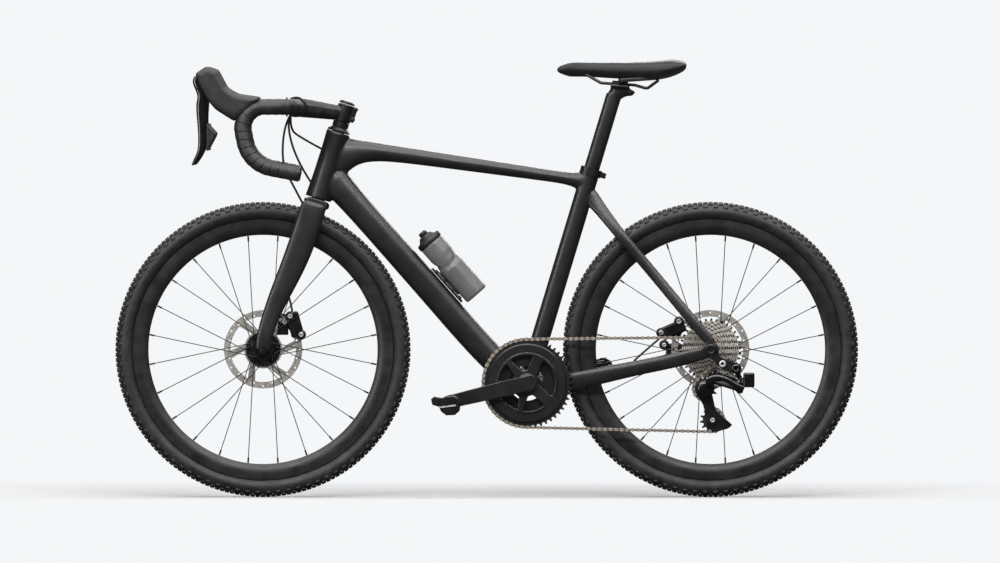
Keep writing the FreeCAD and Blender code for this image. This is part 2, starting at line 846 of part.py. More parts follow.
def spider_window(middle, spread, low, high):
    """A rounded window between two spider arms."""
    first = math.radians(middle - spread)
    last = math.radians(middle + spread)
    centre = math.radians(middle)
    y = CHAIN_Y - 30

    def at(radius, angle):
        direction = crank_direction(angle)
        return BRACKET + direction * radius + Vector(0, y, 0)

    narrow = (last - first) * 0.22
    edges = [
        Part.LineSegment(at(low, centre - narrow), at(high, first)).toShape(),
        Part.Arc(at(high, first), at(high, centre), at(high, last)).toShape(),
        Part.LineSegment(at(high, last), at(low, centre + narrow)).toShape(),
        Part.LineSegment(at(low, centre + narrow), at(low, centre - narrow)).toShape(),
    ]
    prism = Part.Face(Part.Wire(edges)).extrude(ACROSS * 60)
    upright = [edge for edge in prism.Edges if abs(edge.Length - 60) < 0.01]
    return prism.makeFillet(4, upright)


def crankset():
    """The drive arm with its spider, the far arm, the hollow spindle and the pedal spindles."""
    opposite = math.degrees(CRANK_ANGLE) - 180
    plate_place = BRACKET + Vector(0, CHAIN_Y - mm("ring_thickness") / 2 - 7, 0)
    disc = Part.makeCylinder(70.9, 7, plate_place, ACROSS)
    hub_boss = Part.makeCylinder(21, 26, BRACKET + Vector(0, CHAIN_Y - 22, 0), ACROSS)
    spider = disc.fuse(hub_boss)
    windows = ((0, 42, 27, 64), (88, 24, 30, 64), (-88, 24, 30, 64), (143, 20, 36, 64), (-143, 20, 36, 64))
    for turn, spread, low, high in windows:
        spider = spider.cut(spider_window(opposite + turn, spread, low, high))
    arm = crank_arm_shape(CRANK_ANGLE, CHAIN_Y - 16, CHAIN_Y - 26, 1)
    socket = Part.makeCylinder(mm("spindle_radius"), 60, BRACKET + Vector(0, CHAIN_Y - 15, 0), ACROSS)
    node(feature("drive_crank_arm", spider.fuse(arm).cut(socket)), "drive_crank_arm")
    far_arm = crank_arm_shape(CRANK_ANGLE + math.pi, 62, 74, -1)
    boss = Part.makeCylinder(19, 22, BRACKET + Vector(0, 50, 0), ACROSS)
    through = Part.makeCylinder(mm("spindle_radius"), 90, BRACKET + Vector(0, 20, 0), ACROSS)
    node(feature("far_crank_arm", far_arm.fuse(boss).cut(through)), "far_crank_arm")
    start = BRACKET + Vector(0, CHAIN_Y - 15, 0)
    length = size("chain_line") + 15 + 71
    shaft = rod("spindle_shaft", size("spindle_radius"), length, start)
    bore = rod("spindle_hole", size("spindle_bore"), 27, BRACKET + Vector(0, 71 - 25, 0))
    pins = [minus("crank_spindle", shaft, bore)]
    ends = (("near", CRANK_ANGLE, CHAIN_Y - 19.5, -1), ("far", CRANK_ANGLE + math.pi, 67.5, 1))
    for name, angle, y, out in ends:
        place = BRACKET + crank_direction(angle) * mm("crank_length") + Vector(0, y, 0)
        thread = rod(f"{name}_pedal_thread", 7, 14, place, ACROSS * out)
        collar = rod(f"{name}_pedal_collar", 9, 5, place + ACROSS * (out * 14), ACROSS * out)
        shaft = rod(f"{name}_pedal_shaft", 5, 50, place + ACROSS * (out * 19), ACROSS * out)
        pins.append(joined(f"{name}_pedal_spindle", thread, collar, shaft))
    node(group("crank_and_pedal_spindles", *pins), "crank_and_pedal_spindles")


def chainring_bolts():
    """Four bolts that hold the rings to the spider."""
    opposite = math.degrees(CRANK_ANGLE) - 180
    y = CHAIN_Y - mm("ring_thickness") / 2 + 0.02
    reach = mm("ring_spacing") - 0.04
    bolts = []
    for n, turn in enumerate((59, -59, 117, -117)):
        place = BRACKET + crank_direction(math.radians(opposite + turn)) * 61 + Vector(0, y, 0)
        bolts.append(rod(f"chainring_bolt_{n}", 5, reach, place))
    return bolts


def pedal(label, angle, y, out):
    """A clipless pedal body: a front claw, a platform and a deep weighted underside."""
    place = BRACKET + crank_direction(angle) * mm("crank_length") + Vector(0, y, 0)
    outline = (
        (-45, 6),
        (-38, 12),
        (-20, 9),
        (-9, 13),
        (9, 13),
        (18, 8),
        (23, -2),
        (21, -20),
        (10, -30),
        (-10, -31),
        (-22, -22),
        (-27, -11),
        (-42, -7),
    )
    corners = [Vector(x, 0, z) for x, z in outline]
    body = Part.Face(Part.makePolygon(corners + corners[:1])).extrude(Vector(0, 56, 0))
    body = body.makeFillet(1.5, [edge for edge in body.Edges if abs(edge.Length - 56) > 0.01])
    if out < 0:
        body.translate(Vector(0, -56, 0))
    body.translate(Vector(0, out * 19.5, 0))
    bore = Part.makeCylinder(5 + mm("running_gap"), 69.6, Vector(0, 0, 0), ACROSS * out)
    item = feature(label, body.cut(bore))
    item.Placement = Placement(place, Rotation())
    return node(item, label)


# Rear derailleur
LINK_FOOT = REAR_AXLE + Vector(72.3, -84, -77)
LINK_ALONG = Vector(-0.95, 0, 0.31).normalize()
slant = math.radians(mm("slant_angle"))
LINK_SWAY = Vector(0, math.cos(slant), -math.sin(slant))
LINK_SWAY = (LINK_SWAY - LINK_ALONG * LINK_SWAY.dot(LINK_ALONG)).normalize()
LINK_PIN = LINK_ALONG.cross(LINK_SWAY).normalize()
HANGER_PIVOT = REAR_AXLE + Vector(58.3, 0, -43)


def link_point(along, sway, pin):
    """A point in the parallelogram's own directions, from its outer rear pivot."""
    return LINK_FOOT + LINK_ALONG * along + LINK_SWAY * sway + LINK_PIN * pin


def link_bar(label, sway):
    """A flat link with a round eye at each end."""
    length = mm("link_length")
    solids = []
    holes = []
    for along in (0, length):
        solids.append(Part.makeCylinder(7.5, 12, link_point(along, sway, -6), LINK_PIN))
        bore = mm("link_pin_radius") + mm("running_gap")
        holes.append(Part.makeCylinder(bore, 14, link_point(along, sway, -7), LINK_PIN))
    wires = []
    for along in (0, length):
        corners = []
        for side, pin in ((-3, -6), (3, -6), (3, 6), (-3, 6)):
            corners.append(link_point(along, sway + side, pin))
        wires.append(Part.makePolygon(corners + corners[:1]))
    solids.append(Part.makeLoft(wires, True, True))
    bar = solids[0].fuse(solids[1:])
    return node(feature(label, bar.cut(holes)), label)


def link_room(along, sway, gap):
    """The space that a link's bar sweeps beside one of its pivots."""
    pivot = link_point(along, sway, 0)
    reach = 40 if along == 0 else -40
    rooms = []
    for degrees in (-13, 0, 12, 23, 34):
        corners = []
        for far, side in ((0, -4.5), (reach, -4.5), (reach, 4.5), (0, 4.5)):
            corners.append(link_point(along + far, sway + side, -gap))
        room = Part.Face(Part.makePolygon(corners + corners[:1])).extrude(LINK_PIN * (2 * gap))
        room.rotate(pivot, LINK_PIN, degrees)
        rooms.append(room)
    return rooms


def knuckle(along, extras):
    """A plate beside the links with two pivot pins, fused with further pieces and clear of the links."""
    spread = mm("link_spread")
    gap = 6 + mm("joint_gap")
    pieces = []
    keep_out = []
    pins = []
    for sway in (0, spread):
        keep_out += link_room(along, sway, gap)
        pieces.append(Part.makeCylinder(7.5, 5, link_point(along, sway, -gap - 5), LINK_PIN))
        keep_out.append(Part.makeCylinder(9, gap * 2, link_point(along, sway, -gap), LINK_PIN))
        start = link_point(along, sway, -gap)
        pins.append(Part.makeCylinder(mm("link_pin_radius"), gap * 2, start, LINK_PIN))
    corners = []
    for side, sway in ((-7.5, 0), (7.5, 0), (7.5, spread), (-7.5, spread)):
        corners.append(link_point(along + side, sway, -gap - 5))
    pieces.append(Part.Face(Part.makePolygon(corners + corners[:1])).extrude(LINK_PIN * 5))
    body = pieces[0].fuse(pieces[1:] + extras)
    return body.cut(keep_out).fuse(pins)


def strut(start, stop, radius):
    """A round strut between two points."""
    return Part.makeCylinder(radius, (stop - start).Length, start, stop - start)


def cage_plate(y, thickness):
    """A capsule round both pulley centres."""
    along = (TENSION - GUIDE).normalize()
    across = Vector(-along.z, 0, along.x)
    corners = [GUIDE + across * 14, TENSION + across * 12, TENSION - across * 12, GUIDE - across * 14]
    edges = [
        Part.LineSegment(corners[0], corners[1]).toShape(),
        Part.Arc(corners[1], TENSION + along * 12, corners[2]).toShape(),
        Part.LineSegment(corners[2], corners[3]).toShape(),
        Part.Arc(corners[3], GUIDE - along * 14, corners[0]).toShape(),
    ]
    plate = Part.Face(Part.Wire(edges)).extrude(ACROSS * thickness)
    plate.translate(Vector(0, y, 0))
    return plate


CAGE_OUTLINE = (
    (-0.12, -18.4),
    (0.12, -21.8),
    (0.42, -14),
    (0.69, -8.6),
    (1.08, -13.9),
    (1.3, -8.7),
    (1.38, 2.2),
    (1.36, 30.3),
    (1.29, 41.9),
    (1.06, 29.8),
    (0.84, 16.4),
    (0.54, 5.4),
    (0.22, 8.3),
    (-0.1, 12.1),
    (-0.19, -8.8),
)


def outer_cage_plate(y, thickness):
    """The curved outer plate, by shares of the way between the pulleys and distances across it."""
    run = TENSION - GUIDE
    across = Vector(-run.z, 0, run.x).normalize()
    corners = [GUIDE + run * share + across * out + Vector(0, y, 0) for share, out in CAGE_OUTLINE]
    plate = Part.Face(Part.makePolygon(corners + corners[:1])).extrude(ACROSS * thickness)
    return plate.makeFillet(3, [edge for edge in plate.Edges if abs(edge.Length - thickness) < 0.01])


def derailleur():
    """Hanger, body with motor, two links, lower knuckle, cage and pulleys."""
    places = ((-6, -12), (12, -9), (32, -23), (68, -33), (70, -51), (52, -54), (22, -41))
    corners = [REAR_AXLE + Vector(x, -79.2, z) for x, z in places]
    plate = Part.Face(Part.makePolygon(corners + corners[:1])).extrude(ACROSS * -7)
    plate = plate.makeFillet(3, [edge for edge in plate.Edges if abs(edge.Length - 7) < 0.01])
    eye = Part.makeCylinder(4, 20, HANGER_PIVOT + ACROSS * -90, ACROSS)
    heads = []
    for n, (x, z) in enumerate(((27, -32), (2, -17))):
        heads.append(rod(f"hanger_bolt_{n}", 5 - n * 2, 2.5, REAR_AXLE + Vector(x, -88.8, z)))
    hanger = feature("hanger_plate", plate.cut(eye))
    node(group("derailleur_hanger", hanger, *heads), "derailleur_hanger")
    boss = Part.makeCylinder(12, 8, HANGER_PIVOT + ACROSS * -79, ACROSS)
    stub = Part.makeCylinder(3.95, 16, HANGER_PIVOT + ACROSS * -89, ACROSS)
    case = Part.makeBox(26, 30, 34, REAR_AXLE + Vector(74.3, -97, -86))
    case = case.makeFillet(4, case.Edges)
    arm = strut(HANGER_PIVOT + Vector(0, -72.6, -4), link_point(0, 8, -9), 6)
    node(feature("derailleur_body", knuckle(0, [boss, stub, case, arm])), "derailleur_body")
    link_bar("derailleur_outer_link", 0)
    link_bar("derailleur_inner_link", mm("link_spread"))
    foot = Part.makeCylinder(13, 14, GUIDE + ACROSS * -71, ACROSS)
    pin = Part.makeCylinder(4, 17.2, GUIDE + ACROSS * -71, ACROSS)
    length = mm("link_length")
    elbow = link_point(length, 10, -9)
    corner = GUIDE + Vector(14, -64, 20)
    lower = knuckle(length, [foot, strut(elbow, corner, 7), strut(corner, GUIDE + ACROSS * -64, 7)])
    node(feature("derailleur_knuckle", lower.fuse(pin)), "derailleur_knuckle")
    outer = outer_cage_plate(-55.6, 2).fuse(cage_plate(-55.6, 2))
    inner = cage_plate(-42.4, 2)
    outer = outer.fuse(Part.makeCylinder(9, 3, GUIDE + ACROSS * -53.6, ACROSS))
    outer = outer.cut(Part.makeCylinder(4 + mm("running_gap"), 6, GUIDE + ACROSS * -59, ACROSS))
    bolts = []
    for centre, first in ((GUIDE, -52.5), (TENSION, -57)):
        bolts.append(Part.makeCylinder(2.5, -40 - first, centre + ACROSS * first, ACROSS))
    node(feature("derailleur_cage", outer.fuse([inner] + bolts)), "derailleur_cage")
    teeth = round(mm("pulley_teeth"))
    for label, centre, phase in (("guide_pulley", GUIDE, PHASES[2]), ("tension_pulley", TENSION, PHASES[3])):
        bore = 2.5 + mm("running_gap")
        wheel = toothed_disc(teeth, 2.0, bore, centre + Vector(0, CHAIN_Y, 0), phase)
        node(feature(label, wheel), label)


# Frame
TOP_FRONT = HEAD_FOOT + STEER * (mm("head_length") - 31)
TOP_REAR = SEAT_TOP - SEAT * 28


def top_tube_station(share):
    """One section of the top tube: straight edges that part in soft flares at the head and seat tubes."""
    run = TOP_REAR - TOP_FRONT
    centre = TOP_FRONT + run * share
    from_head = run.x * share
    to_seat = run.x - from_head
    head_flare = 35 * math.exp((38 - max(from_head, 25)) / 32)
    seat_flare = math.exp((4.5 - to_seat) / 17)
    high = 20 - 7.5 * share + 13 * seat_flare
    low = -20 + 7.5 * share - head_flare - 26 * seat_flare
    width = 36 - 5 * math.tanh(3.9 * (share - 0.5))
    return (centre + Vector(0, 0, (high + low) / 2), run, high - low, width)


# Down tube
DOWN_FRONT = HEAD_FOOT + Vector(35.5, 0, 43.5)
DOWN_REAR = BRACKET - Vector(14.4, 0, 0)


def down_tube_place(share, lift):
    """A point on the down tube's line, by its share of the way down and its height over the straight run."""
    return DOWN_FRONT + (DOWN_REAR - DOWN_FRONT) * share + Vector(0, 0, lift)


TUBE_LOW = down_tube_place(0.8186, -14.6)
TUBE_UP = (down_tube_place(0.38, -6.7) - TUBE_LOW).normalize()
TUBE_OUT = Vector(TUBE_UP.z, 0, -TUBE_UP.x)


def frame_front():
    """Head tube, top tube, down tube, seat tube and bottom bracket shell, each trimmed to its neighbours."""
    long = size("head_length")
    corners = [
        (0, 25),
        (0, 30),
        (50, 27.5),
        (110, 26.5),
        (long, 27),
        (long, 22.5),
        (long - 8, 22.5),
        (long - 8, 20.5),
        (8, 20.5),
        (8, 25),
    ]
    head = turned("head_tube_body", corners, HEAD_FOOT, STEER)
    doc.recompute()
    head_solid = Part.makeCylinder(21, mm("head_length"), HEAD_FOOT, STEER).fuse(head.Shape)
    shell_start = BRACKET - ACROSS * (mm("shell_width") / 2)
    shell = Part.makeCylinder(mm("shell_radius"), mm("shell_width"), shell_start, ACROSS)
    cup_bore = Part.makeCylinder(21, 200, BRACKET - ACROSS * 100, ACROSS)
    shell_solid = Part.makeCylinder(mm("shell_radius"), 200, BRACKET - ACROSS * 100, ACROSS)
    outer_depth = mm("post_depth") + 6
    outer_width = mm("post_width") + 2 * mm("seat_tube_wall")
    seat_outer = oval_prism(BRACKET, outer_depth, outer_width, mm("seat_tube_length"))
    bore = oval_prism(BRACKET + SEAT * 150, mm("post_depth") + 0.12, mm("post_width") + 0.12, 500)
    node(feature("seat_tube", seat_outer.fuse(shell).cut([cup_bore, bore])), "seat_tube")
    top = lofted([top_tube_station(n / 20) for n in range(21)])
    top = top.cut([head_solid, seat_outer])
    node(feature("top_tube", biggest(top)), "top_tube")
    sections = (
        (0, 0, 70, 46),
        (0.08, -1.2, 63, 52),
        (0.38, -6.7, 61, 54),
        (0.8186, -14.6, 61, 54),
        (0.93, -8.6, 58, 58),
        (1, 0, 54, 60),
    )
    down = stay([(down_tube_place(share, lift), depth, width) for share, lift, depth, width in sections], 2.6)
    down = down.cut([head_solid, NODES["top_tube"].Shape, shell_solid, seat_outer])
    node(feature("down_tube", biggest(down)), "down_tube")
    entries = [feature(f"line_entry_{n}", tool) for n, tool in enumerate(sleeves(frame_line_paths()))]
    node(minus("head_tube", head, *entries), "head_tube")


def oval_prism(start, depth, width, length):
    """A straight tube of oval section up the seat tube's line."""
    wire = oval_wire(start, SEAT, depth, width)
    return Part.Face(wire).extrude(SEAT * length)


def biggest(shape):
    """The largest solid of a trimmed shape."""
    return max(shape.Solids, key=lambda solid: solid.Volume)


def stay(places, power=2.3):
    """A solid through (place, depth, width) sections, each square to the run of its neighbours."""
    stations = []
    for n, (place, depth, width) in enumerate(places):
        before = places[max(n - 1, 0)][0]
        after = places[min(n + 1, len(places) - 1)][0]
        stations.append((place, after - before, depth, width))
    return lofted(stations, power)


def stay_places(start, stop, side, table):
    """Sections of a stay or leg between two points, each (share, across, lift, depth, width)."""
    places = []
    for share, across, lift, depth, width in table:
        place = start + (stop - start) * share + Vector(0, side * across, lift)
        places.append((place, depth, width))
    return places


def rear_frame():
    """Both chainstays with their dropouts, and both seatstays."""
    outer_depth = mm("post_depth") + 6
    outer_width = mm("post_width") + 2 * mm("seat_tube_wall")
    seat_outer = oval_prism(BRACKET, outer_depth, outer_width, mm("seat_tube_length"))
    shell_solid = Part.makeCylinder(mm("shell_radius"), 200, BRACKET - ACROSS * 100, ACROSS)
    hub_half = mm("rear_hub_width") / 2
    lower = []
    upper = []
    for side in (-1, 1):
        chain_places = (
            (0.037, 27, -7.9, 46, 20),
            (0.137, 29.5, -13.5, 44, 13),
            (0.241, 36.4, -15.1, 42, 14.6),
            (0.398, 46, -13.6, 39, 17),
            (0.725, 62, -10.4, 33, 15),
            (0.896, 72, -7, 32, 11),
            (0.975, 75, -4, 28, 8),
        )
        places = stay_places(BRACKET, REAR_AXLE, side, chain_places)
        drop_start = REAR_AXLE + ACROSS * (side * hub_half)
        dropout = Part.makeCylinder(19, 8, drop_start, ACROSS * side)
        hole = Part.makeCylinder(mm("axle_radius"), 30, drop_start - ACROSS * (side * 9), ACROSS * side)
        hub_room = Part.makeCylinder(26, hub_half, REAR_AXLE, ACROSS * side)
        chainstay = stay(places).cut([shell_solid, seat_outer, NODES["down_tube"].Shape, hub_room])
        chainstay = biggest(chainstay).fuse(dropout)
        if side > 0:
            mount = Part.makeBox(36, 14, 34, REAR_AXLE + Vector(-101.7, 60, -21))
            chainstay = chainstay.fuse(mount)
            chainstay = chainstay.cut(sleeves([rear_hose_path()]) + [NODES["rear_caliper"].Shape])
        chainstay = chainstay.cut(hole)
        lower.append(biggest(chainstay))
        seat_places = (
            (0.047, 8.5, 16.8, 40, 14),
            (0.137, 17, 16.3, 31, 15),
            (0.288, 35, 13.6, 26, 14),
            (0.445, 41, 14.2, 25, 13),
            (0.747, 60, 15.3, 25, 12),
            (0.953, 73.5, 15.9, 25, 9),
            (1.004, 75, 16.6, 24, 8),
        )
        places = stay_places(SEAT_TOP - SEAT * 63, REAR_AXLE, side, seat_places)
        seatstay = stay(places).cut([seat_outer, lower[-1], hub_room])
        upper.append(biggest(seatstay))
    node(feature("chainstays", Part.makeCompound(lower)), "chainstays")
    node(feature("seatstays", Part.makeCompound(upper)), "seatstays")


def bearings():
    """Headset bearings pressed into the head tube, and cups pressed into the bottom bracket shell."""
    bore = size("steerer_radius") + size("running_gap")
    low = ring("lower_headset_bearing", 25, bore, 7.5, HEAD_FOOT + STEER * 0.5, STEER)
    place = HEAD_FOOT + STEER * (mm("head_length") - 8)
    high = ring("upper_headset_bearing", 22.5, bore, 7.5, place, STEER)
    bore = size("spindle_radius") + size("running_gap")
    half = mm("shell_width") / 2
    near = ring("near_bracket_cup", 21, bore, 10, BRACKET - ACROSS * half)
    far = ring("far_bracket_cup", 21, bore, 10, BRACKET + ACROSS * (half - 10))
    node(group("frame_bearings", low, high, near, far), "frame_bearings")


# Hoses
def tape_exit(y, out=0.0):
    """A point below the bar where a line comes out of the tape."""
    leaving = Vector(-0.55, 0, -0.835)
    return BAR_CENTRE + ACROSS * y + leaving * (mm("tape_radius") + 0.5 + out)


def frame_line_paths():
    """The two lines that run from the bar into the head tube: rear brake hose and shift wire."""
    brake = [tape_exit(-68, 1.2), BAR_CENTRE + Vector(-14, -64, -50)]
    brake += [HEAD_FOOT + Vector(-40.5, -36, 141), HEAD_FOOT + Vector(15.5, -12, 111)]
    shift = [tape_exit(-50), tape_exit(-50, 22)]
    shift += [HEAD_FOOT + Vector(-48.5, -38, 85), HEAD_FOOT + Vector(-8.5, -14, 27)]
    return [rounded_path(brake), rounded_path(shift)]


def front_hose_paths():
    """The front brake hose: from the bar into the fork crown, and out of the leg to the caliper."""
    upper = [tape_exit(-84), tape_exit(-84, 30)]
    for x, y, z in ((-82.5, -70, 79), (-57.5, -46, 33), (-32.5, -40, -15)):
        upper.append(HEAD_FOOT + Vector(x, y, z))
    lower = [FRONT_AXLE + Vector(x, y, z) for x, y, z in ((47.7, 44.5, 145), (61.7, 44, 123), (67.7, 40, 81))]
    return [rounded_path(upper), rounded_path(lower)]


def rear_hose_path():
    """The end of the rear brake hose, from the chainstay to the caliper."""
    places = ((-175.7, 56, -27), (-147.7, 58, -1), (-101.7, 56, 37))
    return rounded_path([REAR_AXLE + Vector(x, y, z) for x, y, z in places])


def sleeves(paths):
    """Room for lines that pass through a wall."""
    return [pipe(path, mm("hose_radius") + mm("hose_clearance")) for path in paths]


def print_lines():
    """Print each line's length, its tightest arc, and its volume over section times length."""
    radius = mm("hose_radius")
    for path in front_hose_paths() + frame_line_paths() + [rear_hose_path()]:
        arcs = [edge.Curve.Radius for edge in path.Edges if isinstance(edge.Curve, Part.Circle)]
        filled = pipe(path, radius).Volume / (math.pi * radius**2 * path.Length)
        print("line", round(path.Length, 1), "tightest arc", round(min(arcs), 1), "volume", round(filled, 4))


def hoses():
    """Lines from the bar into the frame and fork, and on to the calipers."""
    print_lines()
    radius = mm("hose_radius")
    front = [pipe(path, radius).cut(NODES["front_caliper"].Shape) for path in front_hose_paths()]
    front = Part.makeCompound([biggest(line) for line in front])
    node(feature("front_brake_hose", front), "front_brake_hose")
    lines = [pipe(path, radius) for path in frame_line_paths()]
    lines.append(biggest(pipe(rear_hose_path(), radius).cut(NODES["rear_caliper"].Shape)))
    node(feature("frame_hoses", Part.makeCompound(lines)), "frame_hoses")


# Fork and steering
def fork():
    """Steerer, arched crown and two raked legs with their dropouts."""
    half = mm("front_hub_width") / 2
    steerer = Part.makeCylinder(mm("steerer_radius"), mm("head_length") + 76, HEAD_FOOT - STEER * 10, STEER)
    crown_middle = HEAD_FOOT - STEER * 10.9
    wires = []
    for y, depth, high in ((-46, 48, 20), (-30, 57, 20.8), (0, 60, 20.8), (30, 57, 20.8), (46, 48, 20)):
        centre = crown_middle + ACROSS * y
        wires.append(oval_wire(centre, ACROSS, depth, high, 3.2, STEER_FORWARD))
    pieces = [steerer, Part.makeLoft(wires, True, False)]
    cuts = []
    leg_places = (
        (0.0376, 39, -3.8, 58, 20),
        (0.1821, 41, -1.5, 60, 22),
        (0.4061, 43, -1.1, 57, 22),
        (0.6358, 47.5, -7.3, 47, 20),
        (0.8179, 53, -9.3, 39, 17),
        (0.9393, 57, -5, 36, 14),
        (1.0058, 57.5, 0.7, 34, 12),
    )
    for side in (-1, 1):
        places = []
        for share, across, ahead, depth, width in leg_places:
            place = HEAD_FOOT + (FRONT_AXLE - HEAD_FOOT) * share + Vector(ahead, side * across, 0)
            places.append((place, depth, width))
        pieces.append(stay(places, 2.5))
        drop_start = FRONT_AXLE + ACROSS * (side * half)
        pieces.append(Part.makeCylinder(17.5, 13, drop_start, ACROSS * side))
        cuts.append(Part.makeCylinder(mm("axle_radius"), 40, drop_start - ACROSS * (side * 9), ACROSS * side))
        cuts.append(Part.makeCylinder(26, half, FRONT_AXLE, ACROSS * side))
    bracket = Part.makeBox(36, 14, 48, FRONT_AXLE + Vector(21.7, 42, 33))
    pieces.append(bracket)
    cuts += sleeves(front_hose_paths())
    cuts.append(NODES["front_caliper"].Shape)
    shape = pieces[0].fuse(pieces[1:]).cut(cuts)
    node(feature("fork", biggest(shape)), "fork")


def stem():
    """Stem body with both clamps, its faceplate, the spacers below and the cap above."""
    foot = STEM_MIDDLE - STEER * 20
    steer_clamp = Part.makeCylinder(19, 40, foot, STEER)
    bar_clamp = Part.makeCylinder(24, 46, BAR_CENTRE - ACROSS * 23, ACROSS)
    run = (STEM_MIDDLE - BAR_CENTRE).normalize()
    body = lofted([(BAR_CENTRE + run * 8, run, 44, 40), (STEM_MIDDLE - run * 4, run, 33, 34)], 3)
    ears = Part.makeBox(16, 22, 36, Vector(-6, -11, -18))
    upright = Placement(STEM_MIDDLE + run * 17, Rotation(Vector(0, 0, 1), STEER))
    ears.Placement = upright.multiply(ears.Placement)
    whole = steer_clamp.fuse([bar_clamp, body, ears])
    steerer = Part.makeCylinder(mm("steerer_radius"), 400, HEAD_FOOT, STEER)
    bar = Part.makeCylinder(mm("clamp_radius"), 90, BAR_CENTRE - ACROSS * 45, ACROSS)
    whole = whole.cut([steerer, bar])
    front = Part.makeBox(60, 120, 120, BAR_CENTRE + Vector(-60.5, -60, -60))
    gap = Part.makeBox(61, 120, 120, BAR_CENTRE + Vector(-60.5, -60, -60))
    arm = feature("stem_arm", biggest(whole.cut(gap)))
    faceplate = feature("stem_faceplate", biggest(bar_clamp.cut(bar).common(front)))
    bore = size("steerer_radius")
    start = HEAD_FOOT + STEER * (mm("head_length") + 0.5)
    corners = [(0, bore), (0, 26), (4, 26), (10, 19.5), (10, bore)]
    cover = turned("headset_cover", corners, start, STEER)
    spacer = ring("headset_spacer", 18.5, bore, 13.6, start + STEER * 10.4, STEER)
    top = STEM_MIDDLE + STEER * 22
    corners = [(0, 0), (0, 18), (4, 18), (6.5, 14), (6.5, 5), (5, 5), (5, 0)]
    cap = turned("top_cap", corners, top, STEER)
    node(group("headset_spacers_and_cap", cover, spacer, cap), "headset_spacers_and_cap")
    bolts = []
    for n, high in enumerate((-12, 12)):
        place = STEM_MIDDLE + run * 25 + STEER * high - ACROSS * 14.2
        bolts.append(rod(f"stem_clamp_bolt_{n}", 4.2, 3, place))
    for n, (y, z) in enumerate(((-14, 19), (14, 19), (-14, -19), (14, -19))):
        place = BAR_CENTRE + Vector(-19, y, z)
        bolts.append(rod(f"faceplate_bolt_{n}", 3.4, 4, place, Vector(-1, 0, 0)))
    node(group("stem", arm, faceplate, *bolts), "stem")


def bar_points(side, first):
    """The corner points of one half of the handlebar."""
    wide = mm("bar_half_width")
    flare = mm("drop_flare")
    return [
        BAR_CENTRE + ACROSS * (side * first),
        BAR_CENTRE + ACROSS * (side * wide),
        BAR_CENTRE + Vector(-133, side * (wide + 2), 0),
        BAR_CENTRE + Vector(-105.5, side * (wide + flare * 0.6), -131),
        BAR_CENTRE + Vector(6, side * (wide + flare), -152.5),
    ]


def handlebar():
    """The bar with its wider clamp zone, tape on both halves and a plug in each end."""
    clamp = Part.makeCylinder(mm("clamp_radius"), 84, BAR_CENTRE - ACROSS * 42, ACROSS)
    halves = []
    tapes = []
    plugs = []
    for side in (-1, 1):
        halves.append(pipe(rounded_path(bar_points(side, 0)), mm("bar_radius")))
        tape = pipe(rounded_path(bar_points(side, 50)), mm("tape_radius"))
        tapes.append(tape.cut([halves[-1], clamp, hood_shape(side)]))
        points = bar_points(side, 0)
        along = (points[-1] - points[-2]).normalize()
        plugs.append(Part.makeCylinder(mm("tape_radius"), 4, points[-1] + along * 0.05, along))
    tube = halves[0].fuse([halves[1], clamp])
    node(feature("handlebar", Part.makeCompound([tube] + plugs)), "handlebar")
    node(feature("bar_tape", Part.makeCompound(tapes)), "bar_tape")


# Levers
LEVER_PIVOT = BAR_CENTRE + Vector(-203, 0, 52)
HOOD_OUTLINE = (
    (-76, 22),
    (-134, 30.5),
    (-157, 45),
    (-179, 86),
    (-204, 94),
    (-230, 76),
    (-217, 44),
    (-202, 16),
    (-184, -5),
    (-140, -33),
    (-115, -18),
)


def side_plate(points, thickness, y):
    """A flat plate with an outline in X and Z from the bar's centre, centred across at a given place."""
    corners = [BAR_CENTRE + Vector(x, y - thickness / 2, z) for x, z in points]
    return Part.Face(Part.makePolygon(corners + corners[:1])).extrude(ACROSS * thickness)


def hood_shape(side):
    """The outside of a lever body under its rubber hood."""
    wide = mm("hood_width")
    y = side * (mm("bar_half_width") + 3)
    body = side_plate(HOOD_OUTLINE, wide, y)
    long_edges = [edge for edge in body.Edges if abs(edge.Length - wide) < 0.01]
    return body.makeFillet(5, long_edges)


def levers():
    """Hoods on the bar, with a brake lever and a shift paddle on each."""
    hoods = []
    for name, side in (("near", -1), ("far", 1)):
        y = side * (mm("bar_half_width") + 3)
        pivot = LEVER_PIVOT + ACROSS * y
        bar = pipe(rounded_path(bar_points(side, 0)), mm("bar_radius"))
        slot = Part.makeCylinder(62, 15, pivot - ACROSS * 7.5, ACROSS)
        pin = Part.makeCylinder(3, 30, pivot - ACROSS * 15, ACROSS)
        hoods.append(hood_shape(side).cut([bar, slot]).fuse(pin))
        outline = (
            (-233, 68),
            (-217, 70),
            (-191, 56),
            (-194, 40),
            (-204, 19),
            (-204, -96),
            (-229, -136),
            (-238, -132),
            (-223, -90),
            (-222, -16),
            (-230, 29),
        )
        blade = side_plate(outline, 14, y)
        blade = blade.makeFillet(3, [edge for edge in blade.Edges if abs(edge.Length - 14) > 0.01])
        bore = Part.makeCylinder(3 + mm("running_gap"), 40, pivot - ACROSS * 20, ACROSS)
        node(feature(f"{name}_brake_lever", blade.cut(bore)), f"{name}_brake_lever")
        strip = side_plate(((-200, -40), (-182, -60), (-184, -68), (-200, -98)), 6, y)
        barrel = Part.makeCylinder(3, 62, BAR_CENTRE + Vector(-200.7, y, -100), Vector(0, 0, 1))
        node(feature(f"{name}_shift_paddle", strip.fuse(barrel)), f"{name}_shift_paddle")
    node(feature("lever_hoods", Part.makeCompound(hoods)), "lever_hoods")


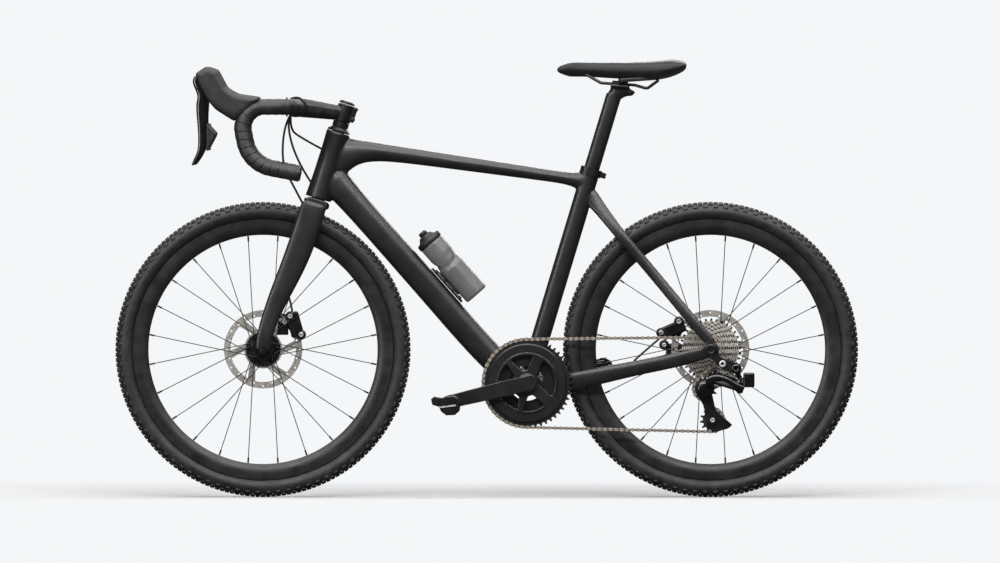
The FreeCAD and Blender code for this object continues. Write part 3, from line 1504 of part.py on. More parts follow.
# Brakes
def caliper(label, centre, axle_place, lean, rotor_y, pad_labels):
    """A caliper body slotted for its rotor, and its two pads."""
    turn = Rotation(ACROSS, lean)
    body = Part.makeBox(30, 30.5, 58, Vector(-15, -12, -29))
    body = body.makeFillet(5, body.Edges)
    body.Placement = Placement(centre + ACROSS * rotor_y, turn)
    half_slot = mm("rotor_thickness") / 2 + mm("pad_gap") + mm("pad_thickness") + 0.4
    place = axle_place + ACROSS * (rotor_y - half_slot)
    slot = Part.makeCylinder(mm("rotor_radius") + 3, 2 * half_slot, place, ACROSS)
    node(feature(label, biggest(body.cut(slot))), label)
    outward = (centre - axle_place).normalize()
    middle = axle_place + outward * (mm("rotor_radius") - mm("rotor_band") / 2 - 1)
    spin = Rotation(ACROSS, -math.degrees(math.atan2(outward.z, outward.x)))
    for pad_label, side in zip(pad_labels, (-1, 1)):
        y = rotor_y + side * (mm("rotor_thickness") / 2 + mm("pad_gap") + mm("pad_thickness") / 2)
        pad = block(pad_label, 14, size("pad_thickness"), 26, middle + ACROSS * y, spin)
        node(pad, pad_label)


def brakes():
    """Both calipers on the far side."""
    y = mm("front_hub_width") / 2 - mm("rotor_inset")
    place = FRONT_AXLE + Vector(72.7, 0, 57)
    caliper("front_caliper", place, FRONT_AXLE, -16, y, ("front_near_pad", "front_far_pad"))
    y = mm("rear_hub_width") / 2 - mm("rotor_inset")
    place = REAR_AXLE + Vector(-85.7, 0, 45)
    caliper("rear_caliper", place, REAR_AXLE, 66, y, ("rear_near_pad", "rear_far_pad"))


# Seat
RAIL_POINTS = ((-82, 8, 24.5), (-44, 22, 2.5), (34, 22, -2.5), (62, 30, -10.5), (88, 40, 8.5))


def rail_shape(side, radius):
    """One saddle rail, bent between nose and tail."""
    points = [CLAMP + Vector(x, side * y, z) for x, y, z in RAIL_POINTS]
    return pipe(rounded_path(points, 12), radius)


def seat():
    """Seatpost with its head, collar, rails, upper cradle and padded saddle."""
    rails = [rail_shape(side, mm("rail_radius")) for side in (-1, 1)]
    foot = SEAT_TOP - SEAT * 182
    height = mm("post_height") - 27
    post = oval_prism(foot, mm("post_depth"), mm("post_width"), 182 + height)
    wall = 2 * mm("post_wall")
    hollow = oval_prism(foot - SEAT, mm("post_depth") - wall, mm("post_width") - wall, 160 + height)
    under_rails = CLAMP + Vector(10, 0, -10.5)
    neck = lofted([(SEAT_TOP + SEAT * (height - 6), SEAT, 34, 26), (under_rails, SEAT, 56, 34)])
    cradle = Part.makeBox(44, 60, 9, Vector(-22, -30, -9))
    cradle.Placement = Placement(CLAMP - Vector(0, 0, 0.2), Rotation(ACROSS, 3.7))
    head = post.cut(hollow).fuse([neck, cradle]).cut(rails)
    node(feature("seatpost", biggest(head)), "seatpost")
    clamp = Part.makeBox(36, 58, 7, Vector(-18, -29, 0))
    clamp.Placement = Placement(CLAMP + Vector(0, 0, 0.2), Rotation(ACROSS, 3.7))
    cradle_top = biggest(clamp.cut(rails))
    node(feature("saddle_rails", Part.makeCompound(rails + [cradle_top])), "saddle_rails")
    depth = mm("post_depth") + 6
    width = mm("post_width") + 2 * mm("seat_tube_wall")
    collar = oval_prism(SEAT_TOP - SEAT * 14, depth + 8, width + 8, 17)
    ear = Part.makeBox(14, 16, 13, Vector(0, -8, 0))
    ear.Placement = Placement(SEAT_TOP - SEAT * 12 - SEAT_FORWARD * 22, Rotation(Vector(0, 0, 1), SEAT))
    inside = oval_prism(SEAT_TOP - SEAT * 22, depth, width, 40)
    ring_shape = collar.fuse(ear).cut([inside, NODES["top_tube"].Shape, NODES["seatstays"].Shape])
    band = feature("collar_band", biggest(ring_shape))
    bolt = rod("collar_bolt", 3.2, 3, SEAT_TOP - SEAT * 5 - SEAT_FORWARD * 29 - ACROSS * 11.1)
    node(group("seatpost_collar", band, bolt), "seatpost_collar")
    saddle(rails)


def saddle(rails):
    """A padded saddle: narrow nose, waisted sides, wide tail with a low crown."""
    long = mm("saddle_length")
    wide = mm("saddle_width")
    stations = (
        (0.0, 37.5, 27.5, 0.15),
        (0.06, 45.5, 20.5, 0.25),
        (0.16, 48, 18.5, 0.29),
        (0.34, 47.5, 16.5, 0.39),
        (0.54, 47.5, 13.5, 0.63),
        (0.7, 50, 11.5, 0.87),
        (0.86, 54, 15.5, 1.0),
        (0.96, 55, 27.5, 0.9),
        (1.0, 51.5, 36.5, 0.76),
    )
    wires = []
    for part, high, low, share in stations:
        centre = CLAMP + Vector((part - 0.4885) * long, 0, (high + low) / 2)
        wires.append(oval_wire(centre, Vector(1, 0, 0), high - low, wide * share, 2.6, Vector(0, 0, 1)))
    body = Part.makeLoft(wires, True, False).cut(rails)
    node(feature("saddle_pad", biggest(body)), "saddle_pad")


# Bottle
BOTTLE_FOOT = TUBE_LOW + TUBE_UP * 114.3 + TUBE_OUT * 71.25


def bottle():
    """A waisted bottle with cap and spout, on a base plate bolted to the down tube."""
    radius = size("bottle_radius")
    long = size("bottle_length")
    corners = [
        (0, 0),
        (0, radius - 4),
        (4, radius),
        (84, radius),
        (97, radius - 2.5),
        (113, radius - 2.5),
        (124, radius),
        (long, radius),
        (long, 0),
    ]
    flask = turned("bottle_flask", corners, BOTTLE_FOOT, TUBE_UP)
    bore = 7 + size("running_gap") * 2
    corners = [(0, 0), (0, radius + 1), (12, radius + 1), (20, 16), (24, 12), (24, bore), (8, bore), (8, 0)]
    cap = turned("bottle_cap", corners, BOTTLE_FOOT + TUBE_UP * (float(long) + 0.1), TUBE_UP)
    corners = [(0, 0), (0, 7), (16, 7), (17, 10), (24, 9), (26, 6), (26, 0)]
    spout_foot = BOTTLE_FOOT + TUBE_UP * (float(long) + 8.3)
    node(turned("bottle_spout", corners, spout_foot, TUBE_UP), "bottle_spout")
    facing = Rotation(TUBE_UP, ACROSS, TUBE_OUT, "ZXY")
    middle = BOTTLE_FOOT + TUBE_UP * 62
    base = block("bottle_base", 104, 26, 6, middle - TUBE_OUT * 36.7, facing)
    catch = block("bottle_catch", 62, 20, 4, middle - TUBE_OUT * 31.4, facing)
    node(base, "bottle_mount")
    tool = rod("bottle_clearance", radius, long, BOTTLE_FOOT, TUBE_UP)
    node(group("bottle", flask, cap, minus("bottle_catch_plate", catch, tool)), "bottle")


def valid_all():
    """Stop if anything in the document failed or is not a sound shape."""
    for item in doc.Objects:
        if any(word in ("Invalid", "Error") for word in item.State):
            raise RuntimeError(f"{item.Name} failed: {item.State}")
    for label, item in NODES.items():
        if item.Shape.isNull() or not item.Shape.isValid():
            raise RuntimeError(f"{label} has no sound shape")
        if not item.Shape.Solids:
            raise RuntimeError(f"{label} has no solid")


front_wheel()
rear_wheel()
front_end = mm("front_hub_width") / 2 - 2
axle("front_axle", FRONT_AXLE, size("front_hub_width"), 14, front_end, front_end)
rear_end = mm("rear_hub_width") / 2 - 2
axle("rear_axle", REAR_AXLE, size("rear_hub_width"), 10, 2 - cassette_near_face(), rear_end)
chain()
cassette()
chainrings()
crankset()
pedal("near_pedal", CRANK_ANGLE, CHAIN_Y - 19.5, -1)
pedal("far_pedal", CRANK_ANGLE + math.pi, 67.5, 1)
doc.recompute()
derailleur()
brakes()
frame_front()
rear_frame()
bearings()
hoses()
fork()
stem()
handlebar()
levers()
seat()
bottle()
doc.recompute()
valid_all()
os.makedirs("parts", exist_ok=True)
for label, item in NODES.items():
    item.Shape.exportStep(f"parts/{label}.step")
    print(label, len(item.Shape.Solids), round(item.Shape.Volume))
print("links", LINKS, "cage angle", math.degrees(CAGE_ANGLE))
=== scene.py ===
import math

import bpy
import numpy as np
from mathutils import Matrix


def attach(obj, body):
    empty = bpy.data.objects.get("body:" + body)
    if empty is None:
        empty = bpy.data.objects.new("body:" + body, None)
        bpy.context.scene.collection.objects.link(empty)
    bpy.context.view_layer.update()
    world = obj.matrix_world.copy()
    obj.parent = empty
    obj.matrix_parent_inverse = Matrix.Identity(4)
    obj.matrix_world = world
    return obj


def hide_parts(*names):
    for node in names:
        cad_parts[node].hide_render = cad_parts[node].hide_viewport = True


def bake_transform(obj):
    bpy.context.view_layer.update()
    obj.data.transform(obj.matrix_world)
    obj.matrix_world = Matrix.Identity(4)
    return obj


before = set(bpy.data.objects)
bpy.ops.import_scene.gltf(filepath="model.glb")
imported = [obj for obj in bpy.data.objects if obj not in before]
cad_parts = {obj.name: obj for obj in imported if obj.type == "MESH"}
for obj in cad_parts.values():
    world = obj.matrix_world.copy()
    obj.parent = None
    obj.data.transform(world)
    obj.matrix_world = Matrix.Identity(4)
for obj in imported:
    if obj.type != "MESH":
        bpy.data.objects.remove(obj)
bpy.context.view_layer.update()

MM = 0.001

# Places of the layout, in millimetres, as in the part's source
FRONT_AXLE = np.array((-513.7, 0, 339.0))
REAR_AXLE = np.array((513.7, 0, 339.0))
BAR_CENTRE = np.array((-438.0, 0, 896.0))
HEAD_FOOT = np.array((-387.5, 0, 685.0))
BOTTLE_FOOT = np.array((-22.6, 0, 464.8))
TUBE_UP = np.array((-0.6638, 0, 0.7479))
TUBE_OUT = np.array((0.7479, 0, 0.6638))
NEARWARD = np.array((0.0, -1.0, 0.0))
LEVER_ACROSS = 213

# The tyre's section: radius of its middle, half width and half height, in millimetres
TYRE_RING = 316
TYRE_HALF_WIDE = 22.4
TYRE_HALF_TALL = 19.6

# Columns of points round a plain turned piece
ROUND_COLUMNS = 36

# Push that follows each pull of 0.5 in smoothing and lets a piece keep its size
KEEP_SIZE = 0.53

ORIGIN = (0.0, 0.0, 0.0)
BLACK = (0.0, 0.0, 0.0, 1)
PALE = (0.905, 0.922, 0.94, 1)


# Points and faces
def unit(vector):
    """A vector of length one along another."""
    return vector / np.linalg.norm(vector)


def round_angles(count):
    """Angles at even steps round a full turn."""
    return np.linspace(0, 2 * np.pi, count, endpoint=False)


def as_points(x, y, z):
    """Points from arrays of their places along the three axes, each spread over the others' shape."""
    return np.stack(np.broadcast_arrays(x, y, z), axis=-1)


def read_between(knots, rows, places):
    """Rows of values read at places between their knots."""
    return np.stack([np.interp(places, knots, column) for column in np.transpose(rows)], axis=1)


def evened(line, rounds):
    """A line of values smoothed with weights of 1, 2 and 1; its ends stay."""
    for _ in range(rounds):
        line[1:-1] = (line[:-2] + 2 * line[1:-1] + line[2:]) / 4
    return line


def grid_faces(rows, columns, closed_rows=False, closed_columns=False):
    """Four-cornered faces of a grid of points; where closed, the last row or column joins the first."""
    i = np.arange(rows if closed_rows else rows - 1)
    j = np.arange(columns if closed_columns else columns - 1)
    i, j = np.meshgrid(i, j, indexing="ij")
    after_i = (i + 1) % rows
    after_j = (j + 1) % columns
    corners = (i * columns + j, i * columns + after_j, after_i * columns + after_j, after_i * columns + j)
    return np.stack(corners, axis=-1).reshape(-1, 4)


def capped_faces(rows, columns, first=0):
    """Faces of a tube of closed rows, counted from a first point, with a flat face at each end."""
    sides = grid_faces(rows, columns, closed_columns=True) + first
    around = np.arange(columns) + first
    return sides.tolist() + [around[::-1].tolist(), (around + (rows - 1) * columns).tolist()]


def mesh_points(mesh, what="co"):
    """The places of a mesh's points, or their normals, as rows."""
    values = np.empty(len(mesh.vertices) * 3)
    mesh.vertices.foreach_get(what, values)
    return values.reshape(-1, 3)


def mesh_edges(mesh):
    """The two point numbers of each edge of a mesh, as rows."""
    values = np.empty(len(mesh.edges) * 2, np.int32)
    mesh.edges.foreach_get("vertices", values)
    return values.reshape(-1, 2)


def move_points(mesh, points):
    """New places for a mesh's points."""
    mesh.vertices.foreach_set("co", points.ravel())
    mesh.update()


# Pieces
def placed(name, data):
    """A new object in the scene."""
    item = bpy.data.objects.new(name, data)
    bpy.context.scene.collection.objects.link(item)
    return item


def new_piece(name, points, faces, body, finish):
    """A smooth mesh piece at the origin from points in millimetres, riding on a body."""
    mesh = bpy.data.meshes.new(name)
    mesh.from_pydata((np.asarray(points).reshape(-1, 3) * MM).tolist(), [], [list(face) for face in faces])
    mesh.validate()
    mesh.materials.append(FINISHES[finish])
    mesh.shade_smooth()
    piece = placed(name, mesh)
    if body:
        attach(piece, body)
    return piece


def swept_points(route, radii):
    """Points of a round sweep: route + radius * (cos a * normal + sin a * binormal), for every angle a.

    Each normal is the last one less its part along the route, so that the sweep doesn't twist.
    """
    tangents = np.gradient(route, axis=0)
    tangents /= np.linalg.norm(tangents, axis=1, keepdims=True)
    normals = [unit(np.cross(tangents[0], (0.3, 0.5, 0.8)))]
    for tangent in tangents[1:]:
        normals.append(unit(normals[-1] - tangent * np.dot(normals[-1], tangent)))
    normals = np.array(normals)
    binormals = np.cross(tangents, normals)
    angles = round_angles(radii.shape[1])[:, None]
    around = normals[:, None] * np.cos(angles) + binormals[:, None] * np.sin(angles)
    return route[:, None] + around * radii[:, :, None]


def turned(name, along, radii, foot, axis, body, finish):
    """A capped turned surface: foot + along * axis + radius * (cos a * side + sin a * other)."""
    along = np.asarray(along, float)
    radii = np.asarray(radii, float)
    if radii.ndim == 1:
        radii = np.repeat(radii[:, None], ROUND_COLUMNS, axis=1)
    axis = unit(axis)
    side = unit(np.cross(axis, (0.6, 0.05, 0.8)))
    other = np.cross(axis, side)
    angles = round_angles(radii.shape[1])[:, None]
    around = np.cos(angles) * side + np.sin(angles) * other
    points = foot + along[:, None, None] * axis + radii[:, :, None] * around
    return new_piece(name, points, capped_faces(*radii.shape), body, finish)


def rounded_block(name, centre, axes, halves, body, finish):
    """A block with soft edges: half lengths times a signed small power of a sphere's cosines and sines."""
    power = 0.22
    rise = np.linspace(-np.pi / 2, np.pi / 2, 26)[1:-1, None]
    turn = round_angles(48)[None]

    def eased(value):
        return np.sign(value) * np.abs(value) ** power

    flat = eased(np.cos(rise))
    local = as_points(flat * eased(np.cos(turn)), flat * eased(np.sin(turn)), eased(np.sin(rise)))
    points = centre + (local * halves) @ np.asarray(axes)
    return new_piece(name, points, capped_faces(*local.shape[:2]), body, finish)


def rounded_route(corners, step):
    """Straight runs joined by tangent arcs, each as large as its runs allow, as points at even steps."""
    arc_share = 0.45
    corners = np.asarray(corners, float)
    route = [corners[:1]]
    for before, corner, after in zip(corners, corners[1:], corners[2:]):
        arriving = unit(corner - before)
        leaving = unit(after - corner)
        half_turn = math.acos(np.clip(np.dot(arriving, leaving), -1, 1)) / 2
        inward = unit(leaving - arriving)
        along = unit(arriving + leaving)
        shorter = min(np.linalg.norm(corner - before), np.linalg.norm(after - corner))
        radius = arc_share * shorter / math.tan(half_turn)
        centre = corner + inward * radius / math.cos(half_turn)
        angles = np.linspace(-half_turn, half_turn, 24)[:, None]
        route.append(centre - inward * radius * np.cos(angles) + along * radius * np.sin(angles))
    route = np.vstack(route + [corners[-1:]])
    travelled = np.concatenate(([0], np.cumsum(np.linalg.norm(np.diff(route, axis=0), axis=1))))
    return read_between(travelled, route, np.linspace(0, travelled[-1], int(travelled[-1] / step) + 1))


def relaxed(points, edges, rounds, push):
    """Smoothing: each round pulls points half way to their neighbours' mean, then pushes them back."""
    count = np.bincount(edges.ravel(), minlength=len(points))[:, None]
    for pull in (0.5, -push) * rounds:
        total = np.zeros_like(points)
        for n in range(3):
            total[:, n] = np.bincount(edges[:, 0], points[edges[:, 1], n], len(points))
            total[:, n] += np.bincount(edges[:, 1], points[edges[:, 0], n], len(points))
        points = points + pull * (total / count - points)
    return points


def egg(middle, axes):
    """A closed egg: its middle plus cos(v) cos(u), cos(v) sin(u) and sin(v) times three half axes."""
    rows = 25
    columns = 48
    first, second, third = np.array(axes)
    turn = round_angles(columns)[None, :, None]
    rise = np.linspace(-np.pi / 2, np.pi / 2, rows)[:, None, None]
    points = middle + np.cos(rise) * (np.cos(turn) * first + np.sin(turn) * second) + np.sin(rise) * third
    return points.reshape(-1, 3), grid_faces(rows, columns, closed_columns=True).tolist()


def softened(name, nodes, body, finish, voxel, rounds, push=KEEP_SIZE, filler=None):
    """One moulded skin over CAD nodes: their merged copies in small voxels, with all edges rounded.

    A filler is a closed shape, as its points and faces, that is merged in with the nodes.
    """
    points = []
    faces = []
    if filler:
        points.append(filler[0] * MM)
        faces += filler[1]
    for node in nodes:
        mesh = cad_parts[node].data
        offset = sum(len(block) for block in points)
        points.append(mesh_points(mesh))
        faces += [[index + offset for index in polygon.vertices] for polygon in mesh.polygons]
    piece = new_piece(name, np.vstack(points) / MM, faces, None, finish)
    weld = piece.modifiers.new("weld", "WELD")
    weld.merge_threshold = 0.02 * MM
    remesh = piece.modifiers.new("skin", "REMESH")
    remesh.mode = "VOXEL"
    remesh.voxel_size = voxel * MM
    depsgraph = bpy.context.evaluated_depsgraph_get()
    skin = bpy.data.meshes.new_from_object(piece.evaluated_get(depsgraph))
    piece.modifiers.clear()
    piece.data = skin
    skin.materials.clear()
    skin.materials.append(FINISHES[finish])
    skin.shade_smooth()
    move_points(skin, relaxed(mesh_points(skin), mesh_edges(skin), rounds, push))
    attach(piece, body)
    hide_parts(*nodes)
    return piece


def swollen(piece, middles, inner, reach):
    """Sides rounded over: past an inner depth, offsets shrink by sqrt(1 - (1 - d / reach)^2).

    Here d is the way to the outline as seen from the side.
    """
    widest = 40
    edge_share = 0.12
    side_limit = 0.45
    block_size = 1500
    points = mesh_points(piece.data) / MM
    sideways = np.abs(mesh_points(piece.data, "normal")[:, 1]) < side_limit
    for middle in middles:
        offset = points[:, 1] - middle
        deep = (np.abs(offset) > inner) & (np.abs(offset) < widest)
        rim = points[deep & sideways][::2, ::2]
        moved = np.flatnonzero(deep)
        for block in np.array_split(moved, len(moved) // block_size + 1):
            away = np.sqrt(((points[block][:, None, ::2] - rim[None]) ** 2).sum(axis=2).min(axis=1))
            share = 1 - np.minimum(away / reach, 1)
            factor = edge_share + (1 - edge_share) * np.sqrt(1 - share**2)
            depth = inner + (np.abs(offset[block]) - inner) * factor
            points[block, 1] = middle + np.sign(offset[block]) * depth
    move_points(piece.data, relaxed(points, mesh_edges(piece.data), 6, KEEP_SIZE) * MM)


# Shader nodes
def add(tree, kind, links=(), **settings):
    """A node with its settings, and its inputs linked to sockets or set to values."""
    item = tree.nodes.new(kind)
    for key, value in settings.items():
        setattr(item, key, value)
    for socket, value in links:
        if isinstance(value, bpy.types.NodeSocket):
            tree.links.new(value, item.inputs[socket])
        else:
            item.inputs[socket].default_value = value
    return item


def add_group(tree, group, links):
    """The outputs of a node group placed in a tree."""
    return add(tree, "ShaderNodeGroup", links, node_tree=group).outputs


def maths(tree, operation, *values):
    """The result of an operation on one or two values."""
    return add(tree, "ShaderNodeMath", enumerate(values), operation=operation).outputs[0]


def mapped(tree, value, low, high, ends=(0, 1), smooth=False):
    """A value between low and high, brought to lie between two ends."""
    links = [("Value", value), ("From Min", low), ("From Max", high)]
    links += [("To Min", ends[0]), ("To Max", ends[1])]
    kind = "SMOOTHSTEP" if smooth else "LINEAR"
    return add(tree, "ShaderNodeMapRange", links, interpolation_type=kind).outputs[0]


def mixed(tree, share, first, second):
    """The colour that lies a share of the way from a first colour to a second."""
    return add(tree, "ShaderNodeMix", [(0, share), (6, first), (7, second)], data_type="RGBA").outputs[2]


def noise(tree, place, scale, detail, distortion=0.0):
    """Cloudy noise."""
    links = [("Vector", place), ("Scale", scale), ("Detail", detail), ("Distortion", distortion)]
    return add(tree, "ShaderNodeTexNoise", links).outputs["Fac"]


def object_place(tree):
    """The place on the object, in metres."""
    return tree.nodes.new("ShaderNodeTexCoord").outputs["Object"]


# Shader node groups
def group_of(name, inputs, outputs):
    """An empty node group with sockets of the kind of their values; gives it, its inputs and outputs."""
    kinds = {3: "NodeSocketVector", 4: "NodeSocketColor"}
    group = bpy.data.node_groups.new(name, "ShaderNodeTree")
    for label, value in inputs.items():
        kind = kinds[len(value)] if isinstance(value, tuple) else "NodeSocketFloat"
        socket = group.interface.new_socket(name=label, in_out="INPUT", socket_type=kind)
        socket.default_value = value
    for label in outputs:
        kind = "NodeSocketColor" if label == "Color" else "NodeSocketFloat"
        group.interface.new_socket(name=label, in_out="OUTPUT", socket_type=kind)
    return group, group.nodes.new("NodeGroupInput").outputs, group.nodes.new("NodeGroupOutput").inputs


def make_grain():
    """Mottled colour between two tones, roughness that varies with it, and the height of a fine grain."""
    inputs = {"Vector": ORIGIN, "Patch Scale": 40.0, "Grain Scale": 900.0}
    inputs.update({"Dark": BLACK, "Light": BLACK, "Smooth": 0.35, "Rough": 0.5})
    group, given, result = group_of("mottled grain", inputs, ("Color", "Roughness", "Height"))
    patch = noise(group, given["Vector"], given["Patch Scale"], 6)
    fine = noise(group, given["Vector"], given["Grain Scale"], 3)
    share = mapped(group, maths(group, "ADD", patch, fine), 0.75, 1.25)
    rough = mapped(group, patch, 0.3, 0.7, (given["Smooth"], given["Rough"]))
    group.links.new(mixed(group, share, given["Dark"], given["Light"]), result["Color"])
    group.links.new(rough, result["Roughness"])
    group.links.new(fine, result["Height"])
    return group


def make_scuffs():
    """A mask of sparse thin scratches and rubbed spots."""
    group, given, result = group_of("scuffs", {"Vector": ORIGIN, "Amount": 0.5}, ("Mask",))
    links = [("Vector", given["Vector"]), ("Rotation", (0.4, 0.9, 0.3)), ("Scale", (1, 6, 1.5))]
    stretched = add(group, "ShaderNodeMapping", links).outputs[0]
    thin = mapped(group, noise(group, stretched, 60, 8, distortion=0.6), 0.64, 0.74)
    group.links.new(maths(group, "MULTIPLY", thin, given["Amount"]), result["Mask"])
    return group


def make_cells():
    """The height of small raised cells, as in leather or moulded dots."""
    inputs = {"Vector": ORIGIN, "Scale": 600.0, "Spread": 1.0}
    group, given, result = group_of("raised cells", inputs, ("Height",))
    links = [("Vector", given["Vector"]), ("Scale", given["Scale"]), ("Randomness", given["Spread"])]
    cells = add(group, "ShaderNodeTexVoronoi", links, feature="DISTANCE_TO_EDGE")
    group.links.new(mapped(group, cells.outputs["Distance"], 0, 0.3, smooth=True), result["Height"])
    return group


def make_brushing():
    """The height of fine brushed lines."""
    group, given, result = group_of("brushing", {"Vector": ORIGIN}, ("Height",))
    links = [(0, given["Vector"]), (1, (1200, 40, 300))]
    stretched = add(group, "ShaderNodeVectorMath", links, operation="MULTIPLY").outputs[0]
    group.links.new(noise(group, stretched, 1, 4), result["Height"])
    return group


def make_dust():
    """A mask of dry dust that gathers low on the object and in patches."""
    group, given, result = group_of("road dust", {"Vector": ORIGIN, "Amount": 0.4}, ("Mask",))
    height = add(group, "ShaderNodeSeparateXYZ", [("Vector", given["Vector"])]).outputs["Z"]
    low = mapped(group, height, 0.7, 0.0)
    patches = mapped(group, noise(group, given["Vector"], 38, 7), 0.45, 0.75)
    gathered = maths(group, "MULTIPLY", low, patches)
    group.links.new(maths(group, "MULTIPLY", gathered, given["Amount"]), result["Mask"])
    return group


def make_tooth_row_shade():
    """A mask of painted shade in the gaps between rows of teeth, row by row (sine of the angle times a
    ring's teeth), and of the darker outer edge.
    """
    row_step = 0.0045
    group, given, result = group_of("tooth row shade", {"Vector": ORIGIN, "Centre": ORIGIN}, ("Mask",))
    links = [(0, given["Vector"]), (1, given["Centre"])]
    local = add(group, "ShaderNodeVectorMath", links, operation="SUBTRACT").outputs[0]
    flat = add(group, "ShaderNodeVectorMath", [(0, local), (1, (1, 0, 1))], operation="MULTIPLY").outputs[0]
    reach = add(group, "ShaderNodeVectorMath", [(0, flat)], operation="LENGTH").outputs["Value"]
    parts = add(group, "ShaderNodeSeparateXYZ", [("Vector", flat)]).outputs
    angle = maths(group, "ARCTAN2", parts["Z"], parts["X"])
    rows = maths(group, "DIVIDE", reach, row_step)
    teeth = maths(group, "MULTIPLY", maths(group, "FLOOR", rows), 2)
    wave = maths(group, "SINE", maths(group, "MULTIPLY", angle, teeth))
    gaps = mapped(group, wave, -0.15, 0.45)
    tips = mapped(group, maths(group, "FRACT", rows), 0.25, 0.45)
    # the gaps between rows of teeth get painted shade
    painted_gap_shade = maths(group, "MULTIPLY", gaps, tips)
    edge = mapped(group, reach, 0.0655, 0.067)
    group.links.new(maths(group, "MAXIMUM", painted_gap_shade, edge), result["Mask"])
    return group


GRAIN = make_grain()
SCUFFS = make_scuffs()
CELLS = make_cells()
BRUSHING = make_brushing()
DUST = make_dust()
TOOTH_ROW_SHADE = make_tooth_row_shade()


# Materials
def greys(dark, light, warm=0.0):
    """Two grey tones, a little warmer or cooler."""
    return [(value * (1 + warm), value, value * (1 - warm), 1) for value in (dark, light)]


def shader_of(material):
    """The shader of a material."""
    return material.node_tree.nodes["Principled BSDF"]


def tuned(material, settings):
    """A material with values set on its shader."""
    for name, value in settings.items():
        shader_of(material).inputs[name].default_value = value
    return material


def raised(material, height, strength, distance):
    """A material with one more relief over those it has."""
    tree = material.node_tree
    normal = shader_of(material).inputs["Normal"]
    links = [("Height", height), ("Strength", strength), ("Distance", distance)]
    relief = add(tree, "ShaderNodeBump", links)
    if normal.is_linked:
        tree.links.new(normal.links[0].from_socket, relief.inputs["Normal"])
    tree.links.new(relief.outputs[0], normal)
    return material


def laid_over(material, mask, tone):
    """A material with a tone laid over its colour where a mask says."""
    colour = shader_of(material).inputs["Base Color"]
    tree = material.node_tree
    tree.links.new(mixed(tree, mask, colour.links[0].from_socket, tone), colour)
    return material


def mottled(name, tones, roughness, grain, metallic=0.0, scuff=0.0):
    """A finish with mottled tone and roughness, a fine grain and light scuffs.

    The grain is the scale of its patches, the scale of its fine grain and the strength of its relief.
    """
    material = bpy.data.materials.new(name)
    material.use_nodes = True
    tree = material.node_tree
    place = object_place(tree)
    links = [("Vector", place), ("Patch Scale", grain[0]), ("Grain Scale", grain[1])]
    links += [("Dark", tones[0]), ("Light", tones[1]), ("Smooth", roughness[0]), ("Rough", roughness[1])]
    values = add_group(tree, GRAIN, links)
    shader = shader_of(tuned(material, {"Metallic": metallic}))
    tree.links.new(values["Color"], shader.inputs["Base Color"])
    tree.links.new(values["Roughness"], shader.inputs["Roughness"])
    if scuff:
        marks = add_group(tree, SCUFFS, [("Vector", place), ("Amount", scuff)])
        laid_over(material, marks["Mask"], [min(1, value * 3) for value in tones[1][:3]] + [1])
    return raised(material, values["Height"], grain[2], 0.4 * MM)


def dusted(material, amount):
    """A material with dust over its colour."""
    tree = material.node_tree
    dust = add_group(tree, DUST, [("Vector", object_place(tree)), ("Amount", amount)])
    dry_earth = (0.16, 0.14, 0.12, 1)
    return laid_over(material, dust["Mask"], dry_earth)


def celled(material, scale, spread, strength):
    """A material with raised cells over its fine grain."""
    tree = material.node_tree
    cells = add_group(tree, CELLS, [("Vector", object_place(tree)), ("Scale", scale), ("Spread", spread)])
    return raised(material, cells["Height"], strength, 0.6 * MM)


def frame_paint():
    """Matt charcoal paint with a soft sheen and a few rubbed marks."""
    paint = mottled("matt_frame", greys(0.005, 0.008), (0.3, 0.4), (14, 1400, 0.012), scuff=0.05)
    return dusted(tuned(paint, {"Coat Weight": 0.12, "Coat Roughness": 0.35}), 0.03)


def black_alloy():
    """Black anodised alloy, bead blasted."""
    tones = greys(0.004, 0.008)
    return mottled("black_alloy", tones, (0.28, 0.42), (60, 2600, 0.08), metallic=0.2, scuff=0.2)


def glossy_black():
    """Black painted parts with a hard shine."""
    tones = greys(0.003, 0.006)
    paint = mottled("glossy_black", tones, (0.16, 0.28), (50, 900, 0.02), metallic=0.2, scuff=0.15)
    return tuned(paint, {"Coat Weight": 0.5, "Coat Roughness": 0.12})


def satin_black():
    """Forged black parts with a satin shine and a soft clear layer."""
    tones = greys(0.009, 0.015)
    paint = mottled("satin_black", tones, (0.3, 0.42), (18, 1200, 0.03), metallic=0.3, scuff=0.1)
    return tuned(paint, {"Coat Weight": 0.3, "Coat Roughness": 0.22})


def rim_carbon():
    """Dark satin rim skin with faint rubbed streaks."""
    skin = mottled("dark_rim", greys(0.005, 0.009), (0.34, 0.48), (30, 1100, 0.015), scuff=0.05)
    return dusted(skin, 0.04)


def tyre_rubber():
    """Tyre rubber: matt and grained, dusty low down."""
    return dusted(mottled("tyre_rubber", greys(0.006, 0.011), (0.48, 0.66), (70, 700, 0.2)), 0.14)


def hood_rubber():
    """Soft moulded rubber with tiny dots."""
    rubber = mottled("grip_rubber", greys(0.006, 0.01), (0.4, 0.52), (30, 900, 0.1))
    return celled(rubber, scale=520, spread=0.15, strength=0.12)


def tape_finish():
    """Wound bar tape: painted shade along the step where one turn overlaps the next, and a fine pressed
    grain.
    """
    tape = mottled("bar_tape", greys(0.006, 0.011), (0.42, 0.56), (45, 1200, 0.18))
    celled(tape, scale=420, spread=0.6, strength=0.15)
    overlap_shade = add(tape.node_tree, "ShaderNodeAttribute", attribute_name="overlap_shade")
    # near-black painted shade laid along the step where one turn overlaps the next
    return laid_over(tape, overlap_shade.outputs["Fac"], (0.004, 0.004, 0.004, 1))


def saddle_cover():
    """Microfibre cover with a leather-like grain."""
    cover = mottled("saddle_cover", greys(0.0045, 0.008), (0.36, 0.5), (25, 900, 0.1), scuff=0.1)
    celled(cover, scale=900, spread=1, strength=0.12)
    return tuned(cover, {"Specular IOR Level": 0.22, "Sheen Weight": 0.04})


